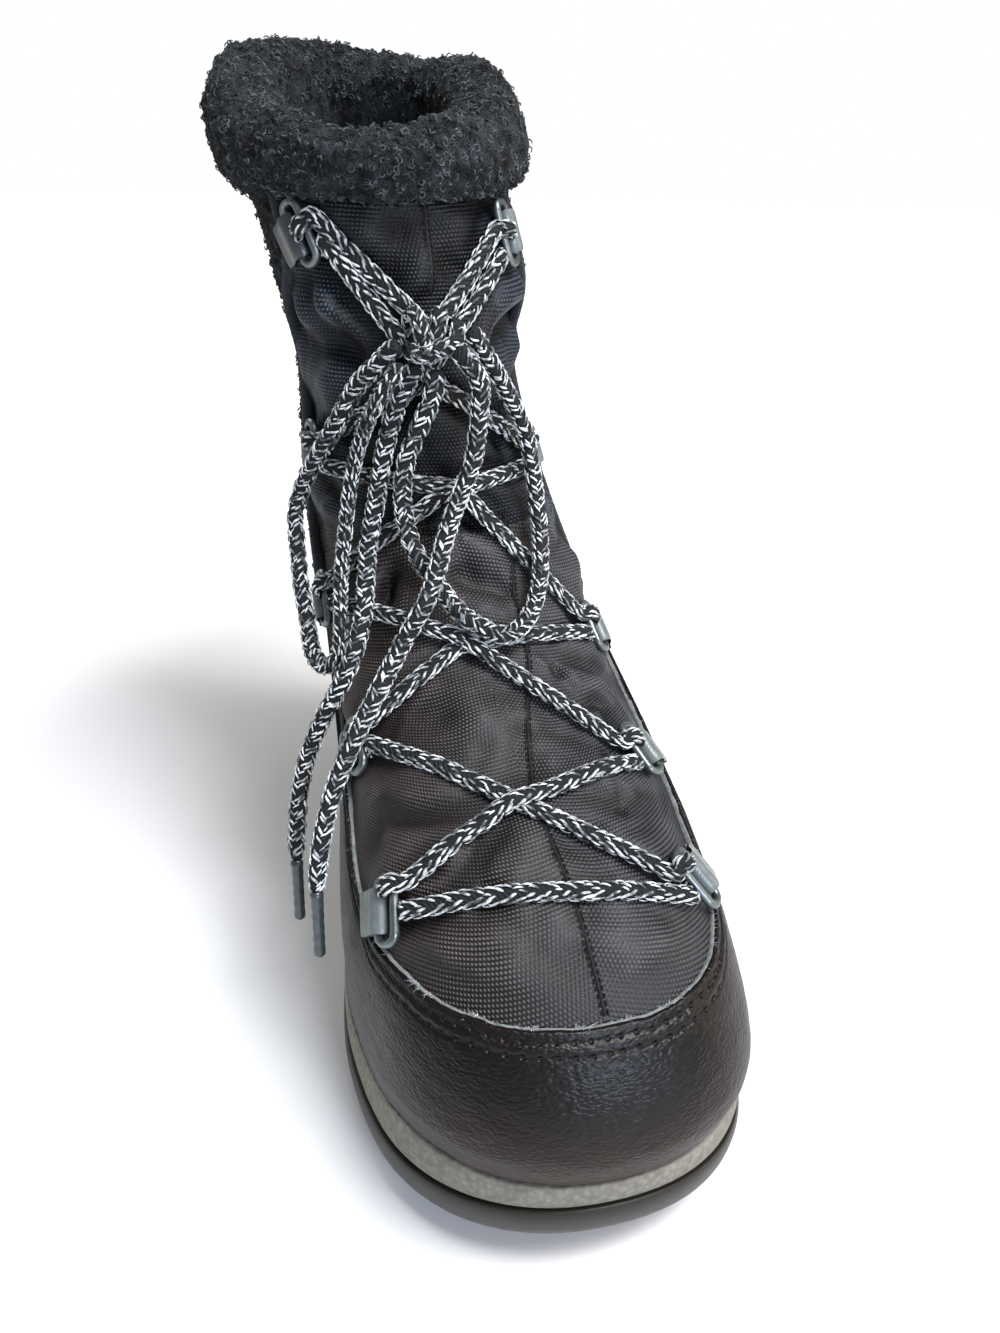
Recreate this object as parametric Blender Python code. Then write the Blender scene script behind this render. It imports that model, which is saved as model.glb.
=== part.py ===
"""Lace-up snow boot, left foot, about EU 39, standing empty on its sole.

The toe points along -Y, the outer side of the foot is +X and +Z is up. Sizes are in
millimetres until a mesh is made, where MM turns them into metres. The whole upper comes
from one function, skin(), which reads the side profile, the widths and the lean of the
boot from short tables. Every shell that lies on the boot is cut from that same function.
"""
import math

import bmesh
import bpy
import numpy as np
from mathutils import Vector
from mathutils.bvhtree import BVHTree

MM = 0.001
ORIGIN = (6.9, 1.4, 0.0)        # added to every point: puts the middle of the plan at zero

# Driving sizes of the boot.
WALL = 6.0              # shell with padding and fur lining
TONGUE_WALL = 5.0       # padded bellows tongue
RAND_THICK = 2.0        # coated leather round the foot
FACING_THICK = 4.0      # felt band under the lace rings
FACING_WIDTH = 12.0     # degrees of the ring that the felt band covers
GAP = 0.3               # space left between pieces that touch
INSOLE_THICK = 5.0
OUTSOLE_HIGH = 14.0     # side wall of the rubber outsole
MIDSOLE_LEAST = 7.0     # least height of the midsole
INSOLE_CLEAR = 1.8      # room left between the insole and the lining

# Heights on the front profile that the pieces share.
FEATHER_LEVEL = 33.0    # where the upper meets the sole
SEAM_LEVEL = 128.0      # foot of the tongue
CUFF_LEVEL = 248.0      # lower edge of the fur cuff
TOP_LEVEL = 272.0

# Side profile: one row for each level of the boot, front point and rear point.
#        name          front_y  front_z  rear_y  rear_z
PROFILE = (
    ("feather",         -140.5,   33.0,  135.0,   38.0),
    ("toe wall",        -142.5,   47.0,  138.0,   53.0),
    ("toe turn",        -136.0,   63.0,  139.5,   68.0),
    ("toe top",         -122.0,   78.0,  138.5,   83.0),
    ("vamp",            -100.0,   91.0,  136.0,   96.0),
    ("ball",             -73.0,  101.0,  132.5,  108.0),
    ("low instep",       -47.0,  112.0,  129.0,  120.0),
    ("instep",           -24.0,  127.5,  127.0,  134.0),
    ("ankle bend",        -6.0,  147.0,  125.5,  150.0),
    ("low shin",           3.5,  170.0,  125.0,  172.0),
    ("shin",               6.5,  197.0,  125.0,  199.0),
    ("high shin",         10.0,  223.0,  125.0,  228.0),
    ("cuff",              14.5,  248.0,  124.0,  263.0),
    ("top",               20.0,  272.0,  122.0,  292.0),
)

# Half widths of the foot along its length, and where its middle line runs.
#      y     half_width  middle_x
FOOT = (
    (-142.0,   51.0,       4.5),
    (-100.0,   52.5,       2.0),
    (-70.0,    54.0,      -0.5),
    (-30.0,    50.0,      -1.0),
    (10.0,     44.5,       0.0),
    (50.0,     41.0,       0.0),
    (95.0,     39.5,       0.0),
    (140.0,    38.0,       0.0),
)

# Half widths of the shaft with height, its lean towards the other foot, and how far in
# from the front and rear profiles the shell reaches that width, with how square it turns.
#      z     half_width  lean_x  front_turn  front_power  rear_turn  rear_power
SHAFT = (
    (33.0,    46.0,       0.0,    53.0,       2.2,         40.0,      2.4),
    (62.0,    46.0,       0.0,    50.0,       2.3,         40.0,      2.4),
    (90.0,    46.0,       0.0,    42.0,       2.4,         40.0,      2.3),
    (125.0,   43.5,      -6.5,    40.0,       2.5,         40.0,      2.2),
    (150.0,   40.0,     -10.0,    41.0,       2.3,         42.0,      2.1),
    (175.0,   35.5,     -14.0,    41.0,       2.1,         44.0,      2.0),
    (200.0,   32.5,     -16.5,    40.0,       2.0,         45.0,      2.0),
    (225.0,   37.5,     -17.0,    42.0,       2.0,         45.0,      2.0),
    (252.0,   38.0,     -22.5,    42.0,       2.0,         45.0,      2.0),
    (295.0,   36.5,     -27.0,    42.0,       2.0,         45.0,      2.0),
)
SHAFT_BLEND = (92.0, 140.0)     # heights between which foot widths give way to shaft widths
FEATHER_DIP = 4.0               # sag of the footbed between toe and heel
FEATHER_DIP_TOP = 80.0          # level above which the sag has gone

# Front edge of the quarters, as an angle round the ring from its front point, on the
# outer and the inner side of the foot. It is drawn back between the lace rings.
#      level   outer   inner
EDGE = (
    (33.0,     58.0,   58.0),
    (80.0,     51.0,   54.0),
    (89.0,     55.0,   60.0),
    (98.0,     53.0,   59.0),
    (112.0,    60.0,   63.0),
    (127.0,    59.0,   63.0),
    (152.0,    65.0,   68.0),
    (174.0,    57.0,   63.0),
    (205.0,    66.0,   66.0),
    (236.0,    51.0,   49.0),
    (272.0,    49.0,   47.0),
)

# Upper edge of the leather in side view, from the toe to the heel, as seen from the outer
# and from the inner side. It climbs in two hollows from the first lace rings to the third.
#      y        outer_z  inner_z
RAND_EDGE = (
    (-160.0,    74.0,    74.0),
    (-126.0,    75.5,    74.5),
    (-112.0,    76.5,    73.5),
    (-98.0,     78.5,    73.0),
    (-88.0,     81.0,    73.0),
    (-72.0,     87.0,    78.0),
    (-46.0,     94.5,    88.0),
    (-22.0,    100.0,    95.0),
    (2.0,      118.0,   116.0),
    (30.0,     117.0,   117.0),
    (80.0,     106.0,   106.0),
    (160.0,    102.0,   102.0),
)

# Underside of the outsole along its length: heel and forefoot are flat at zero.
#      y       z
UNDERSIDE = (
    (-150.0,   14.0),
    (-138.0,   10.0),
    (-122.0,    5.6),
    (-104.0,    2.0),
    (-84.0,     0.0),
    (-24.0,     0.0),
    (-4.0,      3.0),
    (16.0,      4.5),
    (36.0,      3.0),
    (54.0,      0.0),
    (118.0,     0.0),
    (132.0,     2.0),
    (145.0,     6.5),
)

UPPER_LEVELS = (33.0, 41.0, 49.0, 57.0, 65.0, 73.0, 84.0, 96.0, 106.0, 117.0, 128.0,
                140.0, 154.0, 171.0, 189.0, 207.0, 225.0, 243.0, 260.0)
FRONT_STEPS = 8         # faces across the front, between the two quarter edges
BAND_STEPS = 2          # faces across each felt band
REST_STEPS = 18         # faces round the rest of the boot


def clear_scene():
    for item in list(bpy.data.objects):
        bpy.data.objects.remove(item, do_unlink=True)


def material(name, colour, roughness, metallic=0.0):
    made = bpy.data.materials.new(name)
    made.use_nodes = True
    shader = made.node_tree.nodes["Principled BSDF"]
    shader.inputs["Base Color"].default_value = (*colour, 1.0)
    shader.inputs["Roughness"].default_value = roughness
    shader.inputs["Metallic"].default_value = metallic
    made.diffuse_color = (*colour, 1.0)
    return made


def column(table, index):
    return np.array([row[index] for row in table], dtype=float)


def smooth_read(table, index, where):
    """Reads a column of a table at the given places, with a curve that never overshoots."""
    x = column(table, 0)
    y = column(table, index)
    step = np.diff(x)
    rise = np.diff(y) / step
    slope = np.zeros_like(y)
    slope[0] = rise[0]
    slope[-1] = rise[-1]
    same_way = rise[:-1] * rise[1:] > 0
    harmonic = 2 * rise[:-1] * rise[1:] / np.where(same_way, rise[:-1] + rise[1:], 1.0)
    slope[1:-1] = np.where(same_way, harmonic, 0.0)
    where = np.clip(np.asarray(where, dtype=float), x[0], x[-1])
    at = np.clip(np.searchsorted(x, where, side="right") - 1, 0, len(step) - 1)
    t = (where - x[at]) / step[at]
    return ((1 + 2 * t) * (1 - t) ** 2 * y[at] + t * (1 - t) ** 2 * step[at] * slope[at]
            + t * t * (3 - 2 * t) * y[at + 1] + t * t * (t - 1) * step[at] * slope[at + 1])


def catmull_rom(points, steps):
    """A smooth open curve through the points, with the same number of steps in each span."""
    points = np.asarray(points, dtype=float)
    first = 2 * points[0] - points[1]
    last = 2 * points[-1] - points[-2]
    padded = np.vstack([first, points, last])
    curve = []
    for k in range(1, len(padded) - 2):
        a, b, c, d = padded[k - 1:k + 3]
        for t in np.linspace(0, 1, steps, endpoint=False):
            curve.append(0.5 * (2 * b + (c - a) * t + (2 * a - 5 * b + 4 * c - d) * t * t
                                + (3 * b - a - 3 * c + d) * t ** 3))
    curve.append(padded[-2])
    return np.array(curve)


PROFILE_STEPS = 16
FRONT_LINE = catmull_rom([row[1:3] for row in PROFILE], PROFILE_STEPS)
REAR_LINE = catmull_rom([row[3:5] for row in PROFILE], PROFILE_STEPS)


def distance_to_line(y, z, line):
    """Shortest distance in side view from each point to a profile line."""
    start = line[:-1]
    span = line[1:] - start
    point = np.stack([y, z], axis=-1)[..., None, :]
    along = ((point - start) * span).sum(-1) / (span * span).sum(-1)
    nearest = start + np.clip(along, 0, 1)[..., None] * span
    return np.sqrt(((point - nearest) ** 2).sum(-1)).min(-1)


def turn(distance, depth, power):
    """How full the width is at a distance in from the profile, from 0 to 1."""
    inward = np.clip(distance / depth, 0, 1)
    return (1 - (1 - inward) ** power) ** (1 / power)


def blend(x, low, high):
    t = np.clip((x - low) / (high - low), 0, 1)
    return t * t * (3 - 2 * t)


def raw_skin(level, angle):
    """Outer surface of the boot: level is the height of the ring's front point, and angle
    runs round the ring in degrees from the front, positive on the outer side."""
    level, angle = np.broadcast_arrays(np.asarray(level, float), np.asarray(angle, float))
    front_y = np.interp(level, FRONT_LINE[:, 1], FRONT_LINE[:, 0])
    rear_y = np.interp(level, FRONT_LINE[:, 1], REAR_LINE[:, 0])
    rear_z = np.interp(level, FRONT_LINE[:, 1], REAR_LINE[:, 1])
    back = (1 - np.cos(np.radians(angle))) / 2
    y = front_y + (rear_y - front_y) * back
    z = level + (rear_z - level) * back
    low = 1 - blend(level, FEATHER_LEVEL, FEATHER_DIP_TOP)
    shaft = blend(z, *SHAFT_BLEND)
    width = (1 - shaft) * smooth_read(FOOT, 1, y) + shaft * smooth_read(SHAFT, 1, z)
    front = turn(distance_to_line(y, z, FRONT_LINE),
                 smooth_read(SHAFT, 3, z), smooth_read(SHAFT, 4, z))
    rear = turn(distance_to_line(y, z, REAR_LINE),
                smooth_read(SHAFT, 5, z), smooth_read(SHAFT, 6, z))
    middle = smooth_read(FOOT, 2, y) + smooth_read(SHAFT, 2, z)
    side = np.sign(np.sin(np.radians(angle)))
    x = middle + side * width * front * rear
    z = z - low * FEATHER_DIP * np.sin(np.pi * back)
    return np.stack([x, y, z], axis=-1)


PROBE = 0.6             # half step, in millimetres or degrees, for reading the normal


def skin(level, angle, offset=0.0):
    """The outer surface moved outward by offset, along its own normal."""
    level, angle, offset = np.broadcast_arrays(*(np.asarray(v, float)
                                                 for v in (level, angle, offset)))
    level = np.clip(level, FEATHER_LEVEL, TOP_LEVEL)
    low = np.clip(level - PROBE, FEATHER_LEVEL, TOP_LEVEL)
    high = np.clip(level + PROBE, FEATHER_LEVEL, TOP_LEVEL)
    across = raw_skin(level, angle + 2 * PROBE) - raw_skin(level, angle - 2 * PROBE)
    upward = raw_skin(high, angle) - raw_skin(low, angle)
    normal = np.cross(across, upward)
    normal /= np.linalg.norm(normal, axis=-1, keepdims=True)
    return raw_skin(level, angle) + offset[..., None] * normal


def edge_angle(level, side):
    """Angle of the quarter edge, signed: side is 1 on the outer side, -1 on the inner."""
    return side * smooth_read(EDGE, 1 if side > 0 else 2, level)


def ring_angles(level):
    """Angles of the columns of one ring: across the front, over one felt band, round the
    heel and over the other band."""
    outer = float(edge_angle(level, 1))
    inner = float(edge_angle(level, -1))
    band = np.linspace(0, FACING_WIDTH, BAND_STEPS + 1)
    front = np.linspace(inner, outer, FRONT_STEPS + 1)
    rest = np.linspace(outer + FACING_WIDTH, 360 + inner - FACING_WIDTH, REST_STEPS + 1)
    return np.concatenate([front, outer + band[1:-1], rest, 360 + inner - band[1:-1]])


def new_object(name, mesh, finish, smooth_angle=40.0):
    made = bpy.data.objects.new(name, mesh)
    bpy.context.scene.collection.objects.link(made)
    mesh.materials.clear()
    mesh.materials.append(finish)
    mesh.shade_smooth()
    mesh.set_sharp_from_angle(angle=math.radians(smooth_angle))
    return made


def metres(points):
    return (np.asarray(points, dtype=float) + ORIGIN) * MM


def mesh_from(name, points, faces):
    mesh = bpy.data.meshes.new(name)
    mesh.from_pydata([tuple(p) for p in metres(points)], [], faces)
    mesh.validate()
    work = bmesh.new()
    work.from_mesh(mesh)
    bmesh.ops.recalc_face_normals(work, faces=work.faces)
    work.to_mesh(mesh)
    work.free()
    return mesh


def shell(name, outer, inner, finish, closed=False, keep=None):
    """A solid between two grids of points, with its rims closed. keep(row, column) tells
    which faces of the grid are there."""
    rows, columns = outer.shape[:2]
    count = rows * columns
    last = columns if closed else columns - 1
    faces = []
    for r in range(rows - 1):
        for c in range(last):
            if keep and not keep(r, c):
                continue
            d = (c + 1) % columns
            low, far = r * columns + c, (r + 1) * columns + d
            faces.append((low, r * columns + d, far))
            faces.append((low, far, (r + 1) * columns + c))
    used = {}
    for face in faces:
        for a, b in zip(face, face[1:] + face[:1]):
            used[(a, b)] = used.get((a, b), 0) + 1
    rim = [(b, a, a + count, b + count) for (a, b) in used if (b, a) not in used]
    inside = [tuple(v + count for v in reversed(face)) for face in faces]
    everything = faces + inside + rim
    points = np.concatenate([outer.reshape(-1, 3), inner.reshape(-1, 3)])
    needed = sorted({v for face in everything for v in face})
    place = {v: k for k, v in enumerate(needed)}
    everything = [tuple(place[v] for v in face) for face in everything]
    return new_object(name, mesh_from(name, points[needed], everything), finish)


def prism(name, ends, finish):
    """A closed bar between two outlines of equally many points."""
    count = len(ends[0])
    faces = [tuple(range(count)), tuple(reversed(range(count, 2 * count)))]
    faces += [(k, k + count, (k + 1) % count + count, (k + 1) % count) for k in range(count)]
    return new_object(name, mesh_from(name, np.vstack(ends), faces), finish)


def boolean(target, operation, tool):
    """Cuts, trims or joins the target with a tool that is itself left out of the model."""
    tool.hide_render = True
    tool.display_type = "WIRE"
    step = target.modifiers.new(tool.name, "BOOLEAN")
    step.operation = operation
    step.solver = "EXACT"
    step.object = tool


# ---- sole -------------------------------------------------------------------------

OUTLINE_POINTS = 48


def plan_outline(grow):
    """Outline of the foot at the feather line, moved outward in plan by grow."""
    angles = np.linspace(0, 360, OUTLINE_POINTS, endpoint=False)
    points = raw_skin(FEATHER_LEVEL, angles)
    ahead = np.roll(points, -1, axis=0) - np.roll(points, 1, axis=0)
    outward = np.stack([ahead[:, 1], -ahead[:, 0]], axis=1)
    outward /= np.linalg.norm(outward, axis=1, keepdims=True)
    moved = points.copy()
    moved[:, :2] += grow * outward
    return moved


def sole_solid(name, layers, finish):
    """Stacks outlines into a closed solid. The first layer is the lowest. Its caps are
    ladders of faces from one side to the other, so they follow the curve of the sole."""
    stack = np.array(layers)
    rows, columns = stack.shape[:2]
    faces = []
    for r in range(rows - 1):
        for c in range(columns):
            d = (c + 1) % columns
            faces.append((r * columns + c, r * columns + d,
                          (r + 1) * columns + d, (r + 1) * columns + c))
    for base in (0, (rows - 1) * columns):
        for c in range(columns // 2):
            ring = (c, c + 1, (columns - c - 1) % columns, (columns - c) % columns)
            corners = []
            for v in ring:
                if base + v not in corners:
                    corners.append(base + v)
            faces.append(tuple(corners))
    return new_object(name, mesh_from(name, stack.reshape(-1, 3), faces), finish, 30.0)


def underside(y):
    return np.maximum(smooth_read(UNDERSIDE, 1, y), 0.0)


def outline_at(grow, height):
    """An outline whose heights come from a function of its own points."""
    points = plan_outline(grow)
    points[:, 2] = height(points)
    return points


def footbed(points):
    """Height of the feather line above each point of an outline."""
    line = raw_skin(FEATHER_LEVEL, np.linspace(0, 180, 91))
    return np.interp(points[:, 1], line[:, 1], line[:, 2])


def split_height(points):
    """Top of the outsole: its own wall height above the underside, under the footbed."""
    return np.minimum(underside(points[:, 1]) + OUTSOLE_HIGH, footbed(points) - MIDSOLE_LEAST)


# Section of the outsole wall from the tread up: distance out from the upper's feather
# line, and share of the wall height.
#       out    share
OUTSOLE_WALL = (
    (-4.5,    0.00),
    (0.5,     0.10),
    (3.4,     0.34),
    (4.2,     0.62),
    (4.0,     0.88),
    (3.2,     1.00),
)
MIDSOLE_WALL = (
    (2.4,     0.00),
    (3.0,     0.30),
    (3.0,     0.70),
    (2.5,     1.00),
)

# Grooves that part the tread into lugs: where each lies along the boot.
FORE_GROOVES = (-112.0, -96.0, -80.0, -64.0, -48.0, -32.0)
HEEL_GROOVES = (66.0, 81.0, 96.0, 111.0)
GROOVE_WIDE = 5.0
GROOVE_DEEP = 3.0
GROOVE_RIM = 12.0       # tread left uncut along the edge
CHEVRON = 7.0           # how far the middle of a groove leads its ends


def groove_cutter(name, y, half_length, middle):
    """A chevron-shaped block that cuts one groove, following the underside."""
    across = np.array([-half_length, 0.0, half_length])
    lead = np.array([0.0, -CHEVRON, 0.0])
    points = []
    for x, ahead in zip(across, lead):
        for side in (-0.5, 0.5):
            where = y + ahead + side * GROOVE_WIDE
            floor = float(underside(where))
            points.append((middle + x, where, floor - GROOVE_DEEP))
            points.append((middle + x, where, floor + GROOVE_DEEP))
    faces = [(0, 1, 3, 2), (8, 10, 11, 9)]
    for k in (0, 4):
        a, b, c, d = k, k + 1, k + 2, k + 3
        faces += [(a, a + 4, b + 4, b), (c, d, d + 4, c + 4), (b, b + 4, d + 4, d),
                  (a, c, c + 4, a + 4)]
    return new_object(name, mesh_from(name, points, faces), RUBBER)


def foot_half_width(y):
    """Half width of the feather line at a place along the boot."""
    outer_side = plan_outline(0.0)[:OUTLINE_POINTS // 2 + 1]
    return float(np.interp(y, outer_side[:, 1], outer_side[:, 0]) - smooth_read(FOOT, 2, y))


def make_sole():
    layers = []
    for out, share in OUTSOLE_WALL:
        layers.append(outline_at(out, lambda p, s=share: underside(p[:, 1])
                                 + s * (split_height(p) - underside(p[:, 1]))))
    outsole = sole_solid("outsole", layers, RUBBER)
    for k, y in enumerate(FORE_GROOVES + HEEL_GROOVES):
        half = foot_half_width(y) - GROOVE_RIM
        middle = float(smooth_read(FOOT, 2, y))
        boolean(outsole, "DIFFERENCE", groove_cutter(f"groove_{k + 1}", y, half, middle))
    layers = []
    for out, share in MIDSOLE_WALL:
        layers.append(outline_at(out, lambda p, s=share: split_height(p) + GAP
                                 + s * (footbed(p) - 2 * GAP - split_height(p))))
    sole_solid("midsole", layers, MIDSOLE_FOAM)
    inset = -(WALL + INSOLE_CLEAR)
    layers = [outline_at(inset, footbed),
              outline_at(inset - GAP, lambda p: footbed(p) + INSOLE_THICK)]
    sole_solid("insole", layers, FELT)


# ---- upper ------------------------------------------------------------------------

def make_upper():
    levels = np.array(UPPER_LEVELS)
    angles = np.array([ring_angles(level) for level in levels])
    outer = skin(levels[:, None], angles, 0.0)
    inner = skin(levels[:, None], angles, -WALL)
    seam_row = UPPER_LEVELS.index(SEAM_LEVEL)

    def keep(row, col):
        return row < seam_row or col >= FRONT_STEPS

    shell("upper", outer, inner, NYLON, closed=True, keep=keep)


TONGUE_CLEAR = 1.4      # degrees between the tongue and each quarter edge
TONGUE_LIFT = 1.2       # millimetres between the tongue's foot and the vamp


def make_tongue():
    """The padded panel that fills the throat, just clear of the quarters on each side."""
    levels = np.array([level for level in UPPER_LEVELS if level >= SEAM_LEVEL])
    levels[0] += TONGUE_LIFT
    share = np.linspace(0, 1, FRONT_STEPS + 1)
    inner_edge = (edge_angle(levels, -1) + TONGUE_CLEAR)[:, None]
    outer_edge = (edge_angle(levels, 1) - TONGUE_CLEAR)[:, None]
    angles = inner_edge + (outer_edge - inner_edge) * share
    outer = skin(levels[:, None], angles, 0.0)
    inner = skin(levels[:, None], angles, -TONGUE_WALL)
    shell("tongue", outer, inner, NYLON)


RAND_LIFT = 0.4         # the leather starts this far above the feather line
TRIM_HALF = 90.0        # half width of the block that trims the leather
TRIM_LOW = 10.0


def make_rand():
    """Leather round the foot, cut in side view from a shell that lies on the upper. The
    cutter's sides stand at twice the foot's half width, so they differ by twice as much."""
    levels = np.array([level for level in UPPER_LEVELS if level <= SEAM_LEVEL])
    angles = np.array([ring_angles(level) for level in levels])
    levels[0] += RAND_LIFT
    outer = skin(levels[:, None], angles, GAP + RAND_THICK)
    inner = skin(levels[:, None], angles, GAP)
    rand = shell("rand", outer, inner, LEATHER, closed=True)
    ends = []
    for side in (-1, 1):
        edge = catmull_rom([(y, (outer + inner) / 2 + side * (outer - inner))
                            for y, outer, inner in RAND_EDGE], 3)
        outline = [*edge, (edge[-1][0], TRIM_LOW), (edge[0][0], TRIM_LOW)]
        ends.append([(side * TRIM_HALF, y, z) for y, z in outline])
    boolean(rand, "INTERSECT", prism("rand_edge", ends, LEATHER))


def make_facings():
    """Felt bands behind the quarter edge, from the third lace rings up to the cuff."""
    levels = np.array([level for level in UPPER_LEVELS
                       if SEAM_LEVEL <= level < CUFF_LEVEL])
    share = np.linspace(0, 1, BAND_STEPS + 1)
    for side, name in ((1, "facing_lateral"), (-1, "facing_medial")):
        angles = (edge_angle(levels, side)[:, None] + side * FACING_WIDTH * share)[:, ::side]
        outer = skin(levels[:, None], angles, GAP + FACING_THICK)
        inner = skin(levels[:, None], angles, GAP)
        shell(name, outer, inner, FELT)


# Section of the fur cuff: level on the front profile and distance out from the shell.
#       level   out
CUFF = (
    (248.0,    0.8),
    (247.0,    5.0),
    (250.0,    8.6),
    (258.0,   10.0),
    (266.0,    8.6),
    (271.0,    4.5),
    (272.0,   -2.0),
    (270.5,   -9.0),
    (265.0,  -13.0),
    (252.0,  -13.0),
    (247.0,  -11.0),
    (247.0,   -6.8),
    (261.0,   -6.8),
    (261.0,    0.8),
)
CUFF_COLUMNS = 30


def make_cuff():
    """Turned-down fur cuff: it rides over the rim of the shell, inside and out."""
    angles = np.linspace(0, 360, CUFF_COLUMNS, endpoint=False)
    rows = np.array([skin(level, angles, out) for level, out in CUFF])
    rings, columns = rows.shape[:2]
    faces = []
    for r in range(rings):
        s = (r + 1) % rings
        for c in range(columns):
            d = (c + 1) % columns
            faces.append((r * columns + c, r * columns + d, s * columns + d, s * columns + c))
    new_object("collar", mesh_from("collar", rows.reshape(-1, 3), faces), FUR, 80.0)


# ---- lace rings -------------------------------------------------------------------

# The lace rings of each side, from the toe up: level and angle of the sewn bar, and how
# many degrees the bar leans, its upper end towards the throat.
#    level   angle   lean
RINGS_OUTER = (
    (83.5,   33.5,   25.0),
    (97.5,   44.0,   15.0),
    (117.0,  51.0,    0.0),
    (172.0,  53.0,    0.0),
    (236.5,  46.0,    0.0),
)
RINGS_INNER = (
    (79.0,  -44.0,    0.0),
    (98.0,  -55.0,    0.0),
    (127.0, -59.0,    0.0),
    (174.0, -58.0,    0.0),
    (236.6, -43.2,  -12.0),
)
WIRE = 1.3              # radius of the ring wire
RING_LONG = 17.0        # length of the ring along the quarter edge
RING_DEEP = 6.5         # from its sewn bar to its lace bar
RING_CORNER = 2.6
TAB_LONG = 12.0
WIRE_HIGH = 3.4         # middle of the wire above the upper's outer surface


class Seat:
    """Where a lace ring is sewn: a point on the boot and three directions."""

    def __init__(self, number, side):
        level, angle, lean = (RINGS_OUTER if side > 0 else RINGS_INNER)[number - 1]
        self.point = skin(level, angle)
        self.out = skin(level, angle, 1.0) - self.point
        upward = skin(level + 3.0, angle) - skin(level - 3.0, angle)
        upward -= self.out * float(upward @ self.out)
        upward /= np.linalg.norm(upward)
        forward = side * np.cross(self.out, upward)
        tilt = math.radians(lean)
        self.up = math.cos(tilt) * upward + math.sin(tilt) * forward
        self.forward = math.cos(tilt) * forward - math.sin(tilt) * upward

    def at(self, up, forward, out):
        return self.point + up * self.up + forward * self.forward + out * self.out


def ring_path():
    """Rounded rectangle of the wire, as pairs of up and forward."""
    path = []
    reach = RING_LONG / 2 - RING_CORNER
    corners = ((reach, RING_DEEP - RING_CORNER, 0), (-reach, RING_DEEP - RING_CORNER, 90),
               (-reach, RING_CORNER, 180), (reach, RING_CORNER, 270))
    for up, forward, start in corners:
        for step in (0, 45, 90):
            turned = math.radians(start + step)
            path.append((up + RING_CORNER * math.cos(turned),
                         forward + RING_CORNER * math.sin(turned)))
    return path


def make_tube(name, points, radius, finish, cyclic=False, resolution=2):
    curve = bpy.data.curves.new(name, "CURVE")
    curve.dimensions = "3D"
    curve.bevel_depth = radius * MM
    curve.bevel_resolution = resolution
    curve.use_fill_caps = True
    spline = curve.splines.new("POLY")
    spline.points.add(len(points) - 1)
    for place, point in zip(spline.points, metres(points)):
        place.co = (*point, 1.0)
    spline.use_cyclic_u = cyclic
    made = bpy.data.objects.new(name, curve)
    bpy.context.scene.collection.objects.link(made)
    curve.materials.append(finish)
    return made


# Section of a folded tab, as forward and out: a strap that wraps the sewn bar.
TAB_SECTION = (
    (-3.2, 0.4), (0.2, 0.4), (1.9, 1.1), (2.9, 2.6), (2.9, 4.2), (1.9, 5.6), (0.2, 6.2),
    (-2.0, 5.4), (-3.2, 3.9), (-3.2, 2.6), (-1.6, 4.4), (0.0, 5.1), (1.2, 4.7), (1.8, 4.0),
    (1.8, 2.8), (1.2, 2.1), (0.0, 1.7), (-3.2, 1.7),
)


def make_tab(name, seat):
    ends = [[seat.at(up, forward, out) for forward, out in TAB_SECTION]
            for up in (-TAB_LONG / 2, TAB_LONG / 2)]
    prism(name, ends, TAB)


def make_rings():
    for number in range(1, len(RINGS_OUTER) + 1):
        for side, name in ((1, "lateral"), (-1, "medial")):
            seat = Seat(number, side)
            make_tab(f"ring_tab_{number}_{name}", seat)
            wire = [seat.at(up, forward, WIRE_HIGH) for up, forward in ring_path()]
            make_tube(f"lace_ring_{number}_{name}", wire, WIRE, METAL, True, 1)


# ---- lacing -----------------------------------------------------------------------

LACE_WIDE = 6.0
LACE_THICK = 3.4
LACE_CLEAR = 0.9        # under the lace
LACE_PAIR = 3.7         # two laces lie side by side on a ring's bar
LACE_START = 2.9        # in front of the wire
LACE_SLIDE = (3.0, 0.0, 0.0, 0.0, -2.5)     # pulled along each ring's bar, from the toe up
LACE_POINTS = 10

# Where the two lengths of each crossing meet: level and angle.
CROSSINGS = (
    (101.0,   -3.0),
    (127.0,   -2.0),
    (169.0,    4.0),
    (201.0,    0.0),
)


def surface_tree():
    """The front of the boot as one surface, to pull the laces over."""
    levels = np.linspace(60.0, 262.0, 70)
    angles = np.linspace(-100.0, 100.0, 67)
    points = skin(levels[:, None], angles, 0.0)
    rows, columns = points.shape[:2]
    faces = [(r * columns + c, r * columns + c + 1, (r + 1) * columns + c + 1,
              (r + 1) * columns + c) for r in range(rows - 1) for c in range(columns - 1)]
    return BVHTree.FromPolygons([Vector(p) for p in points.reshape(-1, 3)], faces)


def taut_path(tree, stops, high):
    """A lace pulled tight between its stops: straight, but never nearer the boot than
    high. Returns its points and the boot's outward direction at each."""
    stops = np.asarray(stops, dtype=float)
    along = np.concatenate([[0], np.cumsum(np.linalg.norm(np.diff(stops, axis=0), axis=1))])
    where = np.linspace(0, along[-1], LACE_POINTS)
    path = np.stack([np.interp(where, along, stops[:, k]) for k in range(3)], axis=1)
    pinned = {int(np.argmin(abs(where - stop))) for stop in along}
    outward = np.zeros_like(path)
    for sweep in range(24):
        relaxed = path.copy()
        relaxed[1:-1] = 0.5 * path[1:-1] + 0.25 * (path[:-2] + path[2:])
        for k in range(LACE_POINTS):
            if k not in pinned:
                path[k] = relaxed[k]
            near, normal, index, distance = tree.find_nearest(Vector(path[k]))
            near, normal = np.array(near), np.array(normal)
            outward[k] = normal
            if (path[k] - near) @ normal < high:
                path[k] = near + high * normal
    return path, outward


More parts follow.
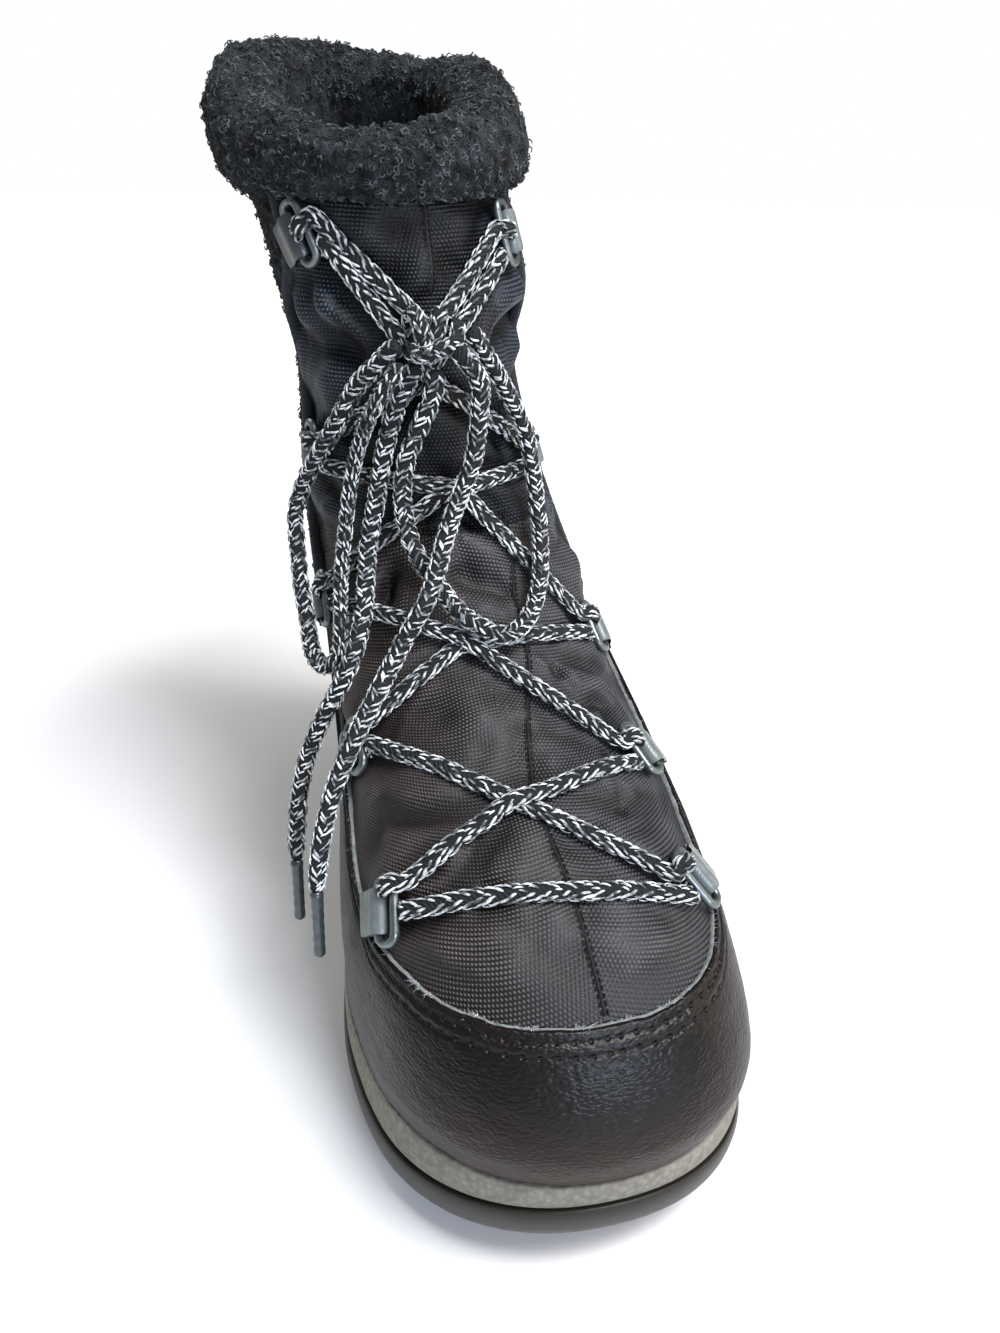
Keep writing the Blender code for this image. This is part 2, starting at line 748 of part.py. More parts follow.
def lace_strand(name, path, outward):
    """A flat lace with rounded edges along a path, lying flat on the boot."""
    half, thin = LACE_WIDE / 2, LACE_THICK / 2
    section = ((-1.0, 0.0), (-0.72, 0.8), (0.0, 1.0), (0.72, 0.8),
               (1.0, 0.0), (0.72, -0.8), (0.0, -1.0), (-0.72, -0.8))
    ahead = np.gradient(path, axis=0)
    ahead /= np.linalg.norm(ahead, axis=1, keepdims=True)
    across = np.cross(ahead, outward)
    across /= np.linalg.norm(across, axis=1, keepdims=True)
    upright = np.cross(across, ahead)
    points = []
    for middle, sideways, rise in zip(path, across, upright):
        points += [middle + half * s * sideways + thin * t * rise for s, t in section]
    count = len(section)
    last = (len(path) - 1) * count
    faces = [tuple(range(count)), tuple(reversed(range(last, last + count)))]
    for r in range(len(path) - 1):
        for c in range(count):
            d = (c + 1) % count
            faces.append((r * count + c, (r + 1) * count + c,
                          (r + 1) * count + d, r * count + d))
    return new_object(name, mesh_from(name, points, faces), LACE, 60.0)


def lace_stop(number, side, up):
    """Where a lace leaves the lace bar of a ring, just in front of it."""
    return Seat(number, side).at(up + LACE_SLIDE[number - 1],
                                 RING_DEEP + WIRE + LACE_START, WIRE_HIGH - WIRE / 2)


def make_lacing():
    tree = surface_tree()
    high = LACE_THICK / 2 + LACE_CLEAR
    low_bar = [lace_stop(1, -1, -LACE_PAIR), lace_stop(1, 1, -LACE_PAIR)]
    lace_strand("lace_bar", *taut_path(tree, low_bar, high))
    for number, (level, angle) in enumerate(CROSSINGS, start=1):
        routes = []
        for side in (1, -1):
            routes.append([lace_stop(number, side, LACE_PAIR), skin(level, angle, high),
                           lace_stop(number + 1, -side, -LACE_PAIR)])
        if number == len(CROSSINGS):
            routes.append([lace_stop(number + 1, -1, LACE_PAIR), KNOT_SEAT,
                           lace_stop(number + 1, 1, LACE_PAIR)])
        base = lace_strand(f"lace_cross_{number}", *taut_path(tree, routes[0], high))
        for k, route in enumerate(routes[1:], start=1):
            other = lace_strand(f"lace_cross_{number}_{k}", *taut_path(tree, route, high))
            boolean(base, "UNION", other)


# ---- bow --------------------------------------------------------------------------

KNOT_SEAT = (-15.0, 5.5, 214.0)         # where the top lace runs under the knot
KNOT_MIDDLE = (-15.5, -2.0, 214.5)
KNOT_HALF = (8.0, 5.6, 7.0)
KNOT_RINGS = 8
KNOT_COLUMNS = 12
CORD = 2.8                              # radius of the free laces
AGLET = 1.9
BOW = {
    "bow_loop_lateral": (
        (-5.4, -4.0, 216.4), (0.5, -0.5, 208.0), (8.0, 5.0, 196.5), (14.5, 8.0, 184.5),
        (17.0, 7.0, 173.5), (17.5, 1.0, 162.5), (17.0, -6.5, 152.0), (14.5, -16.0, 142.5),
        (9.0, -25.0, 135.5), (1.5, -30.5, 132.5), (-6.0, -29.5, 134.5), (-13.0, -25.0, 139.0),
        (-18.5, -18.5, 145.5), (-22.5, -13.5, 151.0), (-25.5, -9.5, 159.0),
        (-26.5, -7.0, 169.0), (-25.0, -6.0, 179.5), (-20.5, -6.0, 190.0),
        (-16.5, -6.0, 199.0), (-15.2, -5.0, 205.8)),
    "bow_loop_medial": (
        (-25.6, -4.2, 213.0), (-31.5, 0.0, 206.5), (-37.0, 4.5, 200.0), (-41.0, 6.5, 193.0),
        (-45.5, 9.5, 185.0), (-50.0, 14.0, 176.5), (-54.5, 19.0, 167.0), (-57.8, 19.8, 157.0),
        (-58.3, 14.5, 147.0), (-58.3, 7.5, 137.0), (-57.5, 1.0, 128.0), (-57.0, -7.5, 121.0),
        (-54.0, -15.0, 119.0), (-50.0, -19.0, 124.0), (-48.0, -16.0, 132.0),
        (-47.0, -9.0, 140.0), (-45.5, -3.0, 148.0), (-43.5, 0.5, 158.0), (-41.5, 2.0, 169.0),
        (-39.0, 1.0, 180.0), (-35.5, -3.5, 191.5), (-31.0, -8.0, 201.0), (-25.2, -7.4, 208.0)),
    "lace_end_lateral": (
        (-10.0, -8.8, 212.2), (-4.0, -10.0, 203.5), (-3.5, -9.5, 196.0), (-4.5, -10.5, 188.0),
        (-6.0, -11.5, 180.5), (-9.0, -12.5, 173.5), (-12.5, -15.0, 166.5),
        (-16.0, -18.5, 159.0), (-19.5, -23.5, 151.0), (-24.0, -28.5, 143.5),
        (-29.5, -31.0, 136.0), (-35.0, -35.0, 128.4), (-41.5, -41.0, 120.5),
        (-48.0, -47.0, 112.1), (-54.0, -52.0, 102.0), (-58.5, -57.5, 91.8),
        (-61.5, -63.5, 82.5), (-62.8, -67.5, 75.0)),
    "lace_end_medial": (
        (-20.2, -1.2, 206.4), (-23.5, -1.5, 201.0), (-26.5, -2.0, 195.5),
        (-29.0, -1.5, 188.0), (-31.5, -1.0, 178.0), (-34.0, -2.0, 166.5),
        (-37.0, -5.0, 155.0), (-39.0, -10.0, 145.0), (-41.0, -17.0, 136.5),
        (-45.0, -24.0, 127.5), (-50.5, -27.5, 118.0), (-56.5, -28.5, 107.5),
        (-61.5, -30.0, 96.5), (-65.0, -33.5, 86.0), (-67.0, -38.5, 76.0),
        (-68.0, -43.0, 67.0)),
}
AGLETS = {
    "aglet_lateral": ((-62.9, -67.8, 74.2), (-63.8, -71.5, 54.5)),
    "aglet_medial": ((-68.1, -43.4, 66.2), (-69.0, -46.5, 46.5)),
}


def make_bow():
    heights = np.linspace(0, math.pi, KNOT_RINGS + 1)[1:-1, None]
    round_it = np.linspace(0, 2 * math.pi, KNOT_COLUMNS, endpoint=False)[None]
    ball = np.stack([np.sin(heights) * np.cos(round_it), np.sin(heights) * np.sin(round_it),
                     np.cos(heights) + 0 * round_it], axis=-1).reshape(-1, 3)
    points = np.vstack([ball, (0, 0, 1), (0, 0, -1)]) * KNOT_HALF + KNOT_MIDDLE
    top, bottom = len(ball), len(ball) + 1
    last = len(ball) - KNOT_COLUMNS
    faces = []
    for c in range(KNOT_COLUMNS):
        d = (c + 1) % KNOT_COLUMNS
        faces += [(top, c, d), (bottom, last + d, last + c)]
        for r in range(0, last, KNOT_COLUMNS):
            low = r + KNOT_COLUMNS
            faces.append((r + c, low + c, low + d, r + d))
    new_object("knot", mesh_from("knot", points, faces), LACE)
    for name, route in BOW.items():
        smooth = catmull_rom(route, 6)
        along = np.concatenate([[0], np.cumsum(np.linalg.norm(np.diff(smooth, axis=0), axis=1))])
        count = int(round(along[-1] / (2.3 * 2 * CORD))) + 1
        where = np.linspace(0, along[-1], count)
        points = np.stack([np.interp(where, along, smooth[:, k]) for k in range(3)], axis=1)
        make_tube(name, points, CORD, LACE)
    for name, ends in AGLETS.items():
        make_tube(name, ends, AGLET, AGLET_FILM)


RUBBER = material("outsole rubber", (0.012, 0.012, 0.012), 0.55)
MIDSOLE_FOAM = material("midsole", (0.19, 0.17, 0.14), 0.8)
FELT = material("felt", (0.025, 0.03, 0.036), 0.95)
NYLON = material("ballistic nylon", (0.018, 0.017, 0.019), 0.6)
LEATHER = material("coated leather", (0.016, 0.015, 0.014), 0.38)
FUR = material("fleece", (0.012, 0.012, 0.013), 1.0)
METAL = material("ring wire", (0.16, 0.17, 0.18), 0.35, 0.6)
TAB = material("coated tab", (0.15, 0.18, 0.19), 0.3)
LACE = material("braided lace", (0.2, 0.2, 0.2), 0.85)
AGLET_FILM = material("lace tip", (0.03, 0.03, 0.03), 0.3)

clear_scene()
make_sole()
make_upper()
make_tongue()
make_rand()
make_facings()
make_cuff()
make_rings()
make_lacing()
make_bow()
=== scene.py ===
"""Looks of a lace-up snow boot, left foot, standing empty on its sole.

The toe points along -Y, the outer side of the foot is +X and +Z is up. The tables are in
millimetres, and place() turns them into metres. The boot's form comes from one function,
raw_skin(). A point on it is named by its level, the height of its ring's front point, and
its angle round that ring from the front, positive on the outer side.
"""
import math

import bpy
import numpy as np
from mathutils import Matrix, Vector, noise
from mathutils.bvhtree import BVHTree


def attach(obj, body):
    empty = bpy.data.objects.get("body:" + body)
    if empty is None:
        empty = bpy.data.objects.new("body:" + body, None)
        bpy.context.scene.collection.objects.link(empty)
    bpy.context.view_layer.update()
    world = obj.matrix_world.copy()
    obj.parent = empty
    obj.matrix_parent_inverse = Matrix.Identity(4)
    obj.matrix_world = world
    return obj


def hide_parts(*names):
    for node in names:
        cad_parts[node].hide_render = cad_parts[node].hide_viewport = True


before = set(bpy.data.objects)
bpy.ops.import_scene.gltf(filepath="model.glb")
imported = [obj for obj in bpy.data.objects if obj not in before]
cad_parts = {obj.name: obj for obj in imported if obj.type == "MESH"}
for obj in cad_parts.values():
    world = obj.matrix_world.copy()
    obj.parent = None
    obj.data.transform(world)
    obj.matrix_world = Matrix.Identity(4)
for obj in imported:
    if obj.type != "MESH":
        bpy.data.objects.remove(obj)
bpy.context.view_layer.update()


# ---- Floor, light and camera --------------------------------------------------------
# A wide pale studio floor that glows a little far out, under one large softbox overhead,
# a low cool one in front for the toe and a warm one at the right. The camera looks down at
# the toe from the front.

def linear(code):
    """A colour written in hexadecimal, as the linear values that a shader wants."""
    parts = [int(code[k:k + 2], 16) / 255 for k in (1, 3, 5)]
    parts = [c / 12.92 if c <= 0.04045 else ((c + 0.055) / 1.055) ** 2.4 for c in parts]
    return (*parts, 1.0)


WHITE = linear("#ffffff")
BOOT_MIDDLE = (0.0, 0.0, 0.12)
FLOOR_REACH = 7.0
FLOOR_SIDES = 64
GLOW_STARTS, GLOW_FULL, GLOW_MOST = 0.12, 1.2, 0.9      # metres from the boot, strength
ROOM_LOW, ROOM_HIGH = 0.38, 0.3     # light of the room at the horizon and higher up
#   name            spot                   aim                size           watts tint
LIGHTS = (
    ("key_softbox", (0.42, -0.42, 1.3),  BOOT_MIDDLE,       (0.55, 0.45), 23.0, "#ffffff"),
    ("toe_softbox", (0.3, -1.2, 0.55),   (0.0, -0.1, 0.06), (0.42, 0.2),  10.5, "#dbe8ff"),
    ("right_fill",  (1.1, -0.35, 0.5),   BOOT_MIDDLE,       (0.5, 0.6),    4.0, "#ffe2c4"),
    ("back_rim",    (-0.35, 1.1, 0.85),  BOOT_MIDDLE,       (0.9, 0.5),    6.0, "#ffffff"),
)
CAMERA_SPOT = (-0.0538, -0.2712, 0.2596)
CAMERA_YAW, CAMERA_PITCH, CAMERA_ROLL = (math.radians(a) for a in (-1.71, 28.33, -6.39))
CAMERA_PAN = math.radians(13.6)     # turned to the right, about the camera's own upright
SENSOR, LENS, NEAREST = 36.0, 25.0, 0.01


def add(tree, kind, settings=None, inputs=None):
    """Adds a node with its settings. An input is a value, or the output it is linked to."""
    node = tree.nodes.new(kind)
    for name, value in (settings or {}).items():
        setattr(node, name, value)
    for name, value in (inputs or {}).items():
        if isinstance(value, bpy.types.NodeSocket):
            tree.links.new(value, node.inputs[name])
        else:
            node.inputs[name].default_value = value
    return node


def new_finish(name, values):
    """A material with plain values set on its own shader."""
    made = bpy.data.materials.new(name)
    made.use_nodes = True
    shader = made.node_tree.nodes["Principled BSDF"]
    for socket, value in values.items():
        shader.inputs[socket].default_value = value
    return made, made.node_tree, shader


def drive(tree, shader, outputs):
    """Links node outputs to the shader's sockets of those names."""
    for socket, output in outputs.items():
        tree.links.new(output, shader.inputs[socket])


# Painted floor: matt and nearly white. Only the lens sees the floor and the room glow, so
# neither washes out the dark leather.
floor_finish, floor_tree, floor_shader = new_finish("painted studio floor", {
    "Base Color": linear("#fbfbfb"), "Roughness": 0.9, "Emission Color": WHITE})
floor_cloud = add(floor_tree, "ShaderNodeTexNoise", inputs={"Scale": 3.0, "Detail": 2.0})
floor_tone = add(floor_tree, "ShaderNodeMix", {"data_type": "RGBA"}, {
    0: floor_cloud.outputs[0], 6: linear("#e6e6e6"), 7: linear("#ececec")})
floor_place = add(floor_tree, "ShaderNodeTexCoord")
floor_far = add(floor_tree, "ShaderNodeVectorMath", {"operation": "LENGTH"}, {
    0: floor_place.outputs["Object"]})
floor_glow = add(floor_tree, "ShaderNodeMapRange", inputs={
    "Value": floor_far.outputs[1], "From Min": GLOW_STARTS, "From Max": GLOW_FULL,
    "To Max": GLOW_MOST})
floor_path = add(floor_tree, "ShaderNodeLightPath")
floor_seen = add(floor_tree, "ShaderNodeMath", {"operation": "MULTIPLY"}, {
    0: floor_glow.outputs[0], 1: floor_path.outputs["Is Camera Ray"]})
drive(floor_tree, floor_shader, {"Base Color": floor_tone.outputs[2],
                                 "Emission Strength": floor_seen.outputs[0]})
turns = np.linspace(0, 2 * np.pi, FLOOR_SIDES, endpoint=False)
floor_mesh = bpy.data.meshes.new("studio_floor")
floor_mesh.from_pydata([(FLOOR_REACH * math.cos(t), FLOOR_REACH * math.sin(t), 0.0)
                        for t in turns], [], [tuple(range(FLOOR_SIDES))])
floor_mesh.materials.append(floor_finish)
floor = bpy.data.objects.new("studio_floor", floor_mesh)
bpy.context.scene.collection.objects.link(floor)

world = bpy.data.worlds.new("studio")
world.use_nodes = True
world_tree = world.node_tree
world_glow = world_tree.nodes["Background"]
world_glow.inputs["Color"].default_value = WHITE
world_place = add(world_tree, "ShaderNodeTexCoord")
world_way = add(world_tree, "ShaderNodeSeparateXYZ", inputs={
    0: world_place.outputs["Generated"]})
world_fall = add(world_tree, "ShaderNodeMapRange", inputs={
    "Value": world_way.outputs[2], "From Max": 0.6, "To Min": ROOM_LOW,
    "To Max": ROOM_HIGH})
world_white = add(world_tree, "ShaderNodeBackground", inputs={"Color": WHITE})
world_path = add(world_tree, "ShaderNodeLightPath")
world_both = add(world_tree, "ShaderNodeMixShader", inputs={
    0: world_path.outputs["Is Camera Ray"], 1: world_glow.outputs[0],
    2: world_white.outputs[0]})
drive(world_tree, world_glow, {"Strength": world_fall.outputs[0]})
drive(world_tree, world_tree.nodes["World Output"], {"Surface": world_both.outputs[0]})
bpy.context.scene.world = world
bpy.context.scene.view_settings.view_transform = "Standard"

for name, spot, aim, size, watts, tint in LIGHTS:
    lamp = bpy.data.lights.new(name, "AREA")
    lamp.shape = "RECTANGLE"
    lamp.size, lamp.size_y = size
    lamp.energy = watts
    lamp.color = linear(tint)[:3]
    made = bpy.data.objects.new(name, lamp)
    made.location = spot
    made.rotation_euler = (Vector(aim) - Vector(spot)).to_track_quat("-Z", "Y").to_euler()
    bpy.context.scene.collection.objects.link(made)


def swung(first, second, angle):
    """Two directions at right angles, turned in their own plane."""
    return (math.cos(angle) * first + math.sin(angle) * second,
            math.cos(angle) * second - math.sin(angle) * first)


gaze = Vector((math.sin(CAMERA_YAW) * math.cos(CAMERA_PITCH),
               math.cos(CAMERA_YAW) * math.cos(CAMERA_PITCH), -math.sin(CAMERA_PITCH)))
level_right = Vector((math.cos(CAMERA_YAW), -math.sin(CAMERA_YAW), 0.0))
camera_right, camera_up = swung(level_right, level_right.cross(gaze), CAMERA_ROLL)
gaze, camera_right = swung(gaze, camera_right, CAMERA_PAN)
camera_lens = bpy.data.cameras.new("camera")
camera_lens.sensor_width = SENSOR
camera_lens.lens = LENS
camera_lens.clip_start = NEAREST
camera = bpy.data.objects.new("camera", camera_lens)
camera_axes = Matrix((camera_right, camera_up, -gaze)).transposed()
camera.matrix_world = Matrix.Translation(CAMERA_SPOT) @ camera_axes.to_4x4()
bpy.context.scene.collection.objects.link(camera)
bpy.context.scene.camera = camera


# ---- Outsole ------------------------------------------------------------------------
# Moulded black rubber cup with a rolled edge, toe spring and an arch, and chevron grooves
# underneath. It follows the foot's outline, so the boot's form is defined here.

FEATHER_LEVEL = 33.0    # where the upper meets the sole
TOP_LEVEL = 272.0

# Side profile: one row for each level of the boot, front point and rear point.
#        name          front_y  front_z  rear_y  rear_z
PROFILE = (
    ("feather",         -140.5,   33.0,  135.0,   38.0),
    ("toe wall",        -142.5,   47.0,  138.0,   53.0),
    ("toe turn",        -136.0,   63.0,  139.5,   68.0),
    ("toe top",         -122.0,   78.0,  138.5,   83.0),
    ("vamp",            -100.0,   91.0,  136.0,   96.0),
    ("ball",             -73.0,  101.0,  132.5,  108.0),
    ("low instep",       -47.0,  112.0,  129.0,  120.0),
    ("instep",           -24.0,  127.5,  127.0,  134.0),
    ("ankle bend",        -6.0,  147.0,  125.5,  150.0),
    ("low shin",           3.5,  170.0,  125.0,  172.0),
    ("shin",               6.5,  197.0,  125.0,  199.0),
    ("high shin",         10.0,  223.0,  125.0,  228.0),
    ("cuff",              14.5,  248.0,  124.0,  263.0),
    ("top",               20.0,  272.0,  122.0,  292.0),
)

# Half widths of the foot along its length, and where its middle line runs.
#      y     half_width  middle_x
FOOT = (
    (-142.0,   51.0,       4.5),
    (-100.0,   52.5,       2.0),
    (-70.0,    54.0,      -0.5),
    (-30.0,    50.0,      -1.0),
    (10.0,     44.5,       0.0),
    (50.0,     41.0,       0.0),
    (95.0,     39.5,       0.0),
    (140.0,    38.0,       0.0),
)

# Half widths of the shaft with height, its lean towards the other foot, and how far in
# from the front and rear profiles the shell reaches that width, with how square it turns.
#      z     half_width  lean_x  front_turn  front_power  rear_turn  rear_power
SHAFT = (
    (33.0,    46.0,       0.0,    53.0,       2.2,         40.0,      2.4),
    (62.0,    46.0,       0.0,    50.0,       2.3,         40.0,      2.4),
    (90.0,    46.0,       0.0,    42.0,       2.4,         40.0,      2.3),
    (125.0,   43.5,      -6.5,    40.0,       2.5,         40.0,      2.2),
    (150.0,   40.0,     -10.0,    41.0,       2.3,         42.0,      2.1),
    (175.0,   35.5,     -14.0,    41.0,       2.1,         44.0,      2.0),
    (200.0,   32.5,     -16.5,    40.0,       2.0,         45.0,      2.0),
    (225.0,   37.5,     -17.0,    42.0,       2.0,         45.0,      2.0),
    (252.0,   38.0,     -22.5,    42.0,       2.0,         45.0,      2.0),
    (295.0,   36.5,     -27.0,    42.0,       2.0,         45.0,      2.0),
)
SHAFT_BLEND = (92.0, 140.0)     # heights between which foot widths give way to shaft widths
FEATHER_DIP = 4.0               # sag of the footbed between toe and heel
FEATHER_DIP_TOP = 80.0          # level above which the sag has gone
PROFILE_STEPS = 16

# How high the sole's underside stands over the floor, along the foot.
#      y        height
UNDERSIDE = (
    (-150.0,   14.0),
    (-138.0,   10.0),
    (-122.0,    5.6),
    (-104.0,    2.0),
    (-84.0,     0.0),
    (-24.0,     0.0),
    (-4.0,      3.0),
    (16.0,      4.5),
    (36.0,      3.0),
    (54.0,      0.0),
    (118.0,     0.0),
    (132.0,     2.0),
    (145.0,     6.5),
)
# Section of the wall from the tread up: distance out from the feather line, and share of
# the wall's height. The last rows turn in under the midsole.
OUTSOLE_WALL = ((-4.5, 0.0), (0.5, 0.1), (3.4, 0.34), (4.2, 0.62), (4.2, 0.84),
                (3.7, 0.97), (3.0, 1.0), (0.5, 0.97))
OUTSOLE_HIGH = 14.0
MIDSOLE_LEAST = 7.0
# Where each groove crosses the foot's middle line, as y.
GROOVES = (-112.0, -96.0, -80.0, -64.0, -48.0, -32.0, 66.0, 81.0, 96.0, 111.0)
GROOVE_WIDE = 5.0
GROOVE_DEEP = 3.0
GROOVE_SLOPE = 0.8
GROOVE_RIM = 12.0
CHEVRON = 7.0
OUTLINE = 480
MM = 0.001
ORIGIN = np.array((6.9, 1.4, 0.0))      # added to every table point, as in the CAD


def column(table, index):
    return np.array([row[index] for row in table], dtype=float)


def smooth_read(table, index, where):
    """Reads a column of a table at the given places, with a curve that never overshoots."""
    x = column(table, 0)
    y = column(table, index)
    step = np.diff(x)
    rise = np.diff(y) / step
    slope = np.zeros_like(y)
    slope[0] = rise[0]
    slope[-1] = rise[-1]
    same_way = rise[:-1] * rise[1:] > 0
    harmonic = 2 * rise[:-1] * rise[1:] / np.where(same_way, rise[:-1] + rise[1:], 1.0)
    slope[1:-1] = np.where(same_way, harmonic, 0.0)
    where = np.clip(np.asarray(where, dtype=float), x[0], x[-1])
    at = np.clip(np.searchsorted(x, where, side="right") - 1, 0, len(step) - 1)
    t = (where - x[at]) / step[at]
    return ((1 + 2 * t) * (1 - t) ** 2 * y[at] + t * (1 - t) ** 2 * step[at] * slope[at]
            + t * t * (3 - 2 * t) * y[at + 1] + t * t * (t - 1) * step[at] * slope[at + 1])


def catmull_rom(points, steps):
    """A smooth open curve through the points, with the same steps in each span."""
    points = np.asarray(points, dtype=float)
    first = 2 * points[0] - points[1]
    last = 2 * points[-1] - points[-2]
    padded = np.vstack([first, points, last])
    curve = []
    for k in range(1, len(padded) - 2):
        a, b, c, d = padded[k - 1:k + 3]
        for t in np.linspace(0, 1, steps, endpoint=False):
            curve.append(0.5 * (2 * b + (c - a) * t + (2 * a - 5 * b + 4 * c - d) * t * t
                                + (3 * b - a - 3 * c + d) * t ** 3))
    curve.append(padded[-2])
    return np.array(curve)


FRONT_LINE = catmull_rom([row[1:3] for row in PROFILE], PROFILE_STEPS)
REAR_LINE = catmull_rom([row[3:5] for row in PROFILE], PROFILE_STEPS)


def distance_to_line(y, z, line):
    """Shortest distance in side view from each point to a profile line."""
    start = line[:-1]
    span = line[1:] - start
    point = np.stack([y, z], axis=-1)[..., None, :]
    along = ((point - start) * span).sum(-1) / (span * span).sum(-1)
    nearest = start + np.clip(along, 0, 1)[..., None] * span
    return np.sqrt(((point - nearest) ** 2).sum(-1)).min(-1)


def turn(distance, depth, power):
    """How full the width is at a distance in from the profile, from 0 to 1."""
    inward = np.clip(distance / depth, 0, 1)
    return (1 - (1 - inward) ** power) ** (1 / power)


def blend(x, low, high):
    t = np.clip((x - low) / (high - low), 0, 1)
    return t * t * (3 - 2 * t)


def raw_skin(level, angle):
    """Outer surface of the boot: level is the height of the ring's front point, and angle
    runs round the ring in degrees from the front, positive on the outer side."""
    level, angle = np.broadcast_arrays(np.asarray(level, float), np.asarray(angle, float))
    front_y = np.interp(level, FRONT_LINE[:, 1], FRONT_LINE[:, 0])
    rear_y = np.interp(level, FRONT_LINE[:, 1], REAR_LINE[:, 0])
    rear_z = np.interp(level, FRONT_LINE[:, 1], REAR_LINE[:, 1])
    back = (1 - np.cos(np.radians(angle))) / 2
    y = front_y + (rear_y - front_y) * back
    z = level + (rear_z - level) * back
    low = 1 - blend(level, FEATHER_LEVEL, FEATHER_DIP_TOP)
    shaft = blend(z, *SHAFT_BLEND)
    width = (1 - shaft) * smooth_read(FOOT, 1, y) + shaft * smooth_read(SHAFT, 1, z)
    front = turn(distance_to_line(y, z, FRONT_LINE),
                 smooth_read(SHAFT, 3, z), smooth_read(SHAFT, 4, z))
    rear = turn(distance_to_line(y, z, REAR_LINE),
                smooth_read(SHAFT, 5, z), smooth_read(SHAFT, 6, z))
    middle = smooth_read(FOOT, 2, y) + smooth_read(SHAFT, 2, z)
    side = np.sign(np.sin(np.radians(angle)))
    x = middle + side * width * front * rear
    z = z - low * FEATHER_DIP * np.sin(np.pi * back)
    return np.stack([x, y, z], axis=-1)


def unit(arrows):
    return arrows / np.maximum(np.linalg.norm(arrows, axis=-1, keepdims=True), 1e-9)


def place(points):
    """Table points in metres, in the boot's own place."""
    return (np.asarray(points, float) + ORIGIN) * MM


def arc(points):
    """How far along a line of points each one lies."""
    return np.concatenate([[0], np.cumsum(np.linalg.norm(np.diff(points, axis=0), axis=1))])


def grid(rows, columns, closed=False):
    """The four corners of each face of a sheet, going round so that it faces outward."""
    r, c = np.meshgrid(np.arange(rows - 1), np.arange(columns if closed else columns - 1),
                       indexing="ij")
    d = (c + 1) % columns
    return np.stack([r * columns + c, r * columns + d, (r + 1) * columns + d,
                     (r + 1) * columns + c], axis=-1).reshape(-1, 4)


def new_piece(name, points, faces, finish, uv=None):
    """A mesh in the boot's place that rides on it. uv is one pair for each face corner."""
    points = place(np.reshape(points, (-1, 3))).astype(np.float32)
    faces = np.asarray(faces, dtype=np.int32)
    mesh = bpy.data.meshes.new(name)
    mesh.vertices.add(len(points))
    mesh.vertices.foreach_set("co", points.ravel())
    mesh.loops.add(faces.size)
    mesh.loops.foreach_set("vertex_index", faces.ravel())
    mesh.polygons.add(len(faces))
    mesh.polygons.foreach_set("loop_start",
                              np.arange(0, faces.size, faces.shape[1], dtype=np.int32))
    mesh.update(calc_edges=True)
    if uv is not None:
        layer = mesh.uv_layers.new(name="laid flat")
        layer.data.foreach_set("uv", np.asarray(uv, np.float32).ravel())
    mesh.shade_smooth()
    mesh.materials.append(finish)
    made = bpy.data.objects.new(name, mesh)
    bpy.context.scene.collection.objects.link(made)
    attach(made, "root")
    return made


def new_sheet(name, points, finish, uv=None, closed=False):
    """A sheet of rows and columns of points. uv has one more column if it is closed."""
    rows, columns = points.shape[:2]
    corners = None
    if uv is not None:
        corners = uv.reshape(-1, 2)[grid(rows, columns + 1 if closed else columns)]
    return new_piece(name, points, grid(rows, columns, closed), finish, corners)


def laid_flat(points):
    """Millimetres along each row of a sheet from its middle column, and up its columns."""
    middle = points.shape[1] // 2
    across = np.concatenate([np.zeros((len(points), 1)), np.cumsum(
        np.linalg.norm(np.diff(points, axis=1), axis=2), axis=1)], axis=1)
    across -= across[:, middle:middle + 1]
    up = np.broadcast_to(arc(points[:, middle])[:, None], across.shape)
    return np.stack([across, up], axis=-1)


# Black rubber: a satin skin with fine mould grain, greyed by dust in clouds that also
# change its roughness.
rubber, rubber_tree, rubber_shader = new_finish(
    "moulded outsole rubber", {"Specular IOR Level": 0.3})
rubber_place = add(rubber_tree, "ShaderNodeTexCoord")
rubber_grain = add(rubber_tree, "ShaderNodeTexNoise", inputs={
    "Vector": rubber_place.outputs["Object"], "Scale": 1400.0, "Detail": 3.0})
rubber_dust = add(rubber_tree, "ShaderNodeTexNoise", inputs={
    "Vector": rubber_place.outputs["Object"], "Scale": 45.0, "Detail": 6.0,
    "Roughness": 0.65})
rubber_tint = add(rubber_tree, "ShaderNodeMix", {"data_type": "RGBA"}, {
    0: rubber_dust.outputs[0], 6: linear("#0f0e0b"), 7: linear("#2e2b25")})
rubber_dull = add(rubber_tree, "ShaderNodeMapRange", inputs={
    "Value": rubber_dust.outputs[0], "To Min": 0.3, "To Max": 0.5})
rubber_bump = add(rubber_tree, "ShaderNodeBump", inputs={
    "Height": rubber_grain.outputs[0], "Strength": 0.25, "Distance": 0.0002})
drive(rubber_tree, rubber_shader, {
    "Base Color": rubber_tint.outputs[2], "Roughness": rubber_dull.outputs[0],
    "Normal": rubber_bump.outputs[0]})

feather_line = raw_skin(FEATHER_LEVEL, np.linspace(0, 360, OUTLINE, endpoint=False))
outer_half = feather_line[:OUTLINE // 2 + 1]


def outline(grow):
    """The foot's outline at the feather line, moved outward in plan."""
    ahead = np.roll(feather_line, -1, axis=0) - np.roll(feather_line, 1, axis=0)
    outward = unit(np.stack([ahead[:, 1], -ahead[:, 0]], axis=1))
    moved = feather_line.copy()
    moved[:, :2] += grow * outward
    return moved


def underside(y):
    return np.maximum(smooth_read(UNDERSIDE, 1, y), 0.0)


def footbed(y):
    return np.interp(y, outer_half[:, 1], outer_half[:, 2])


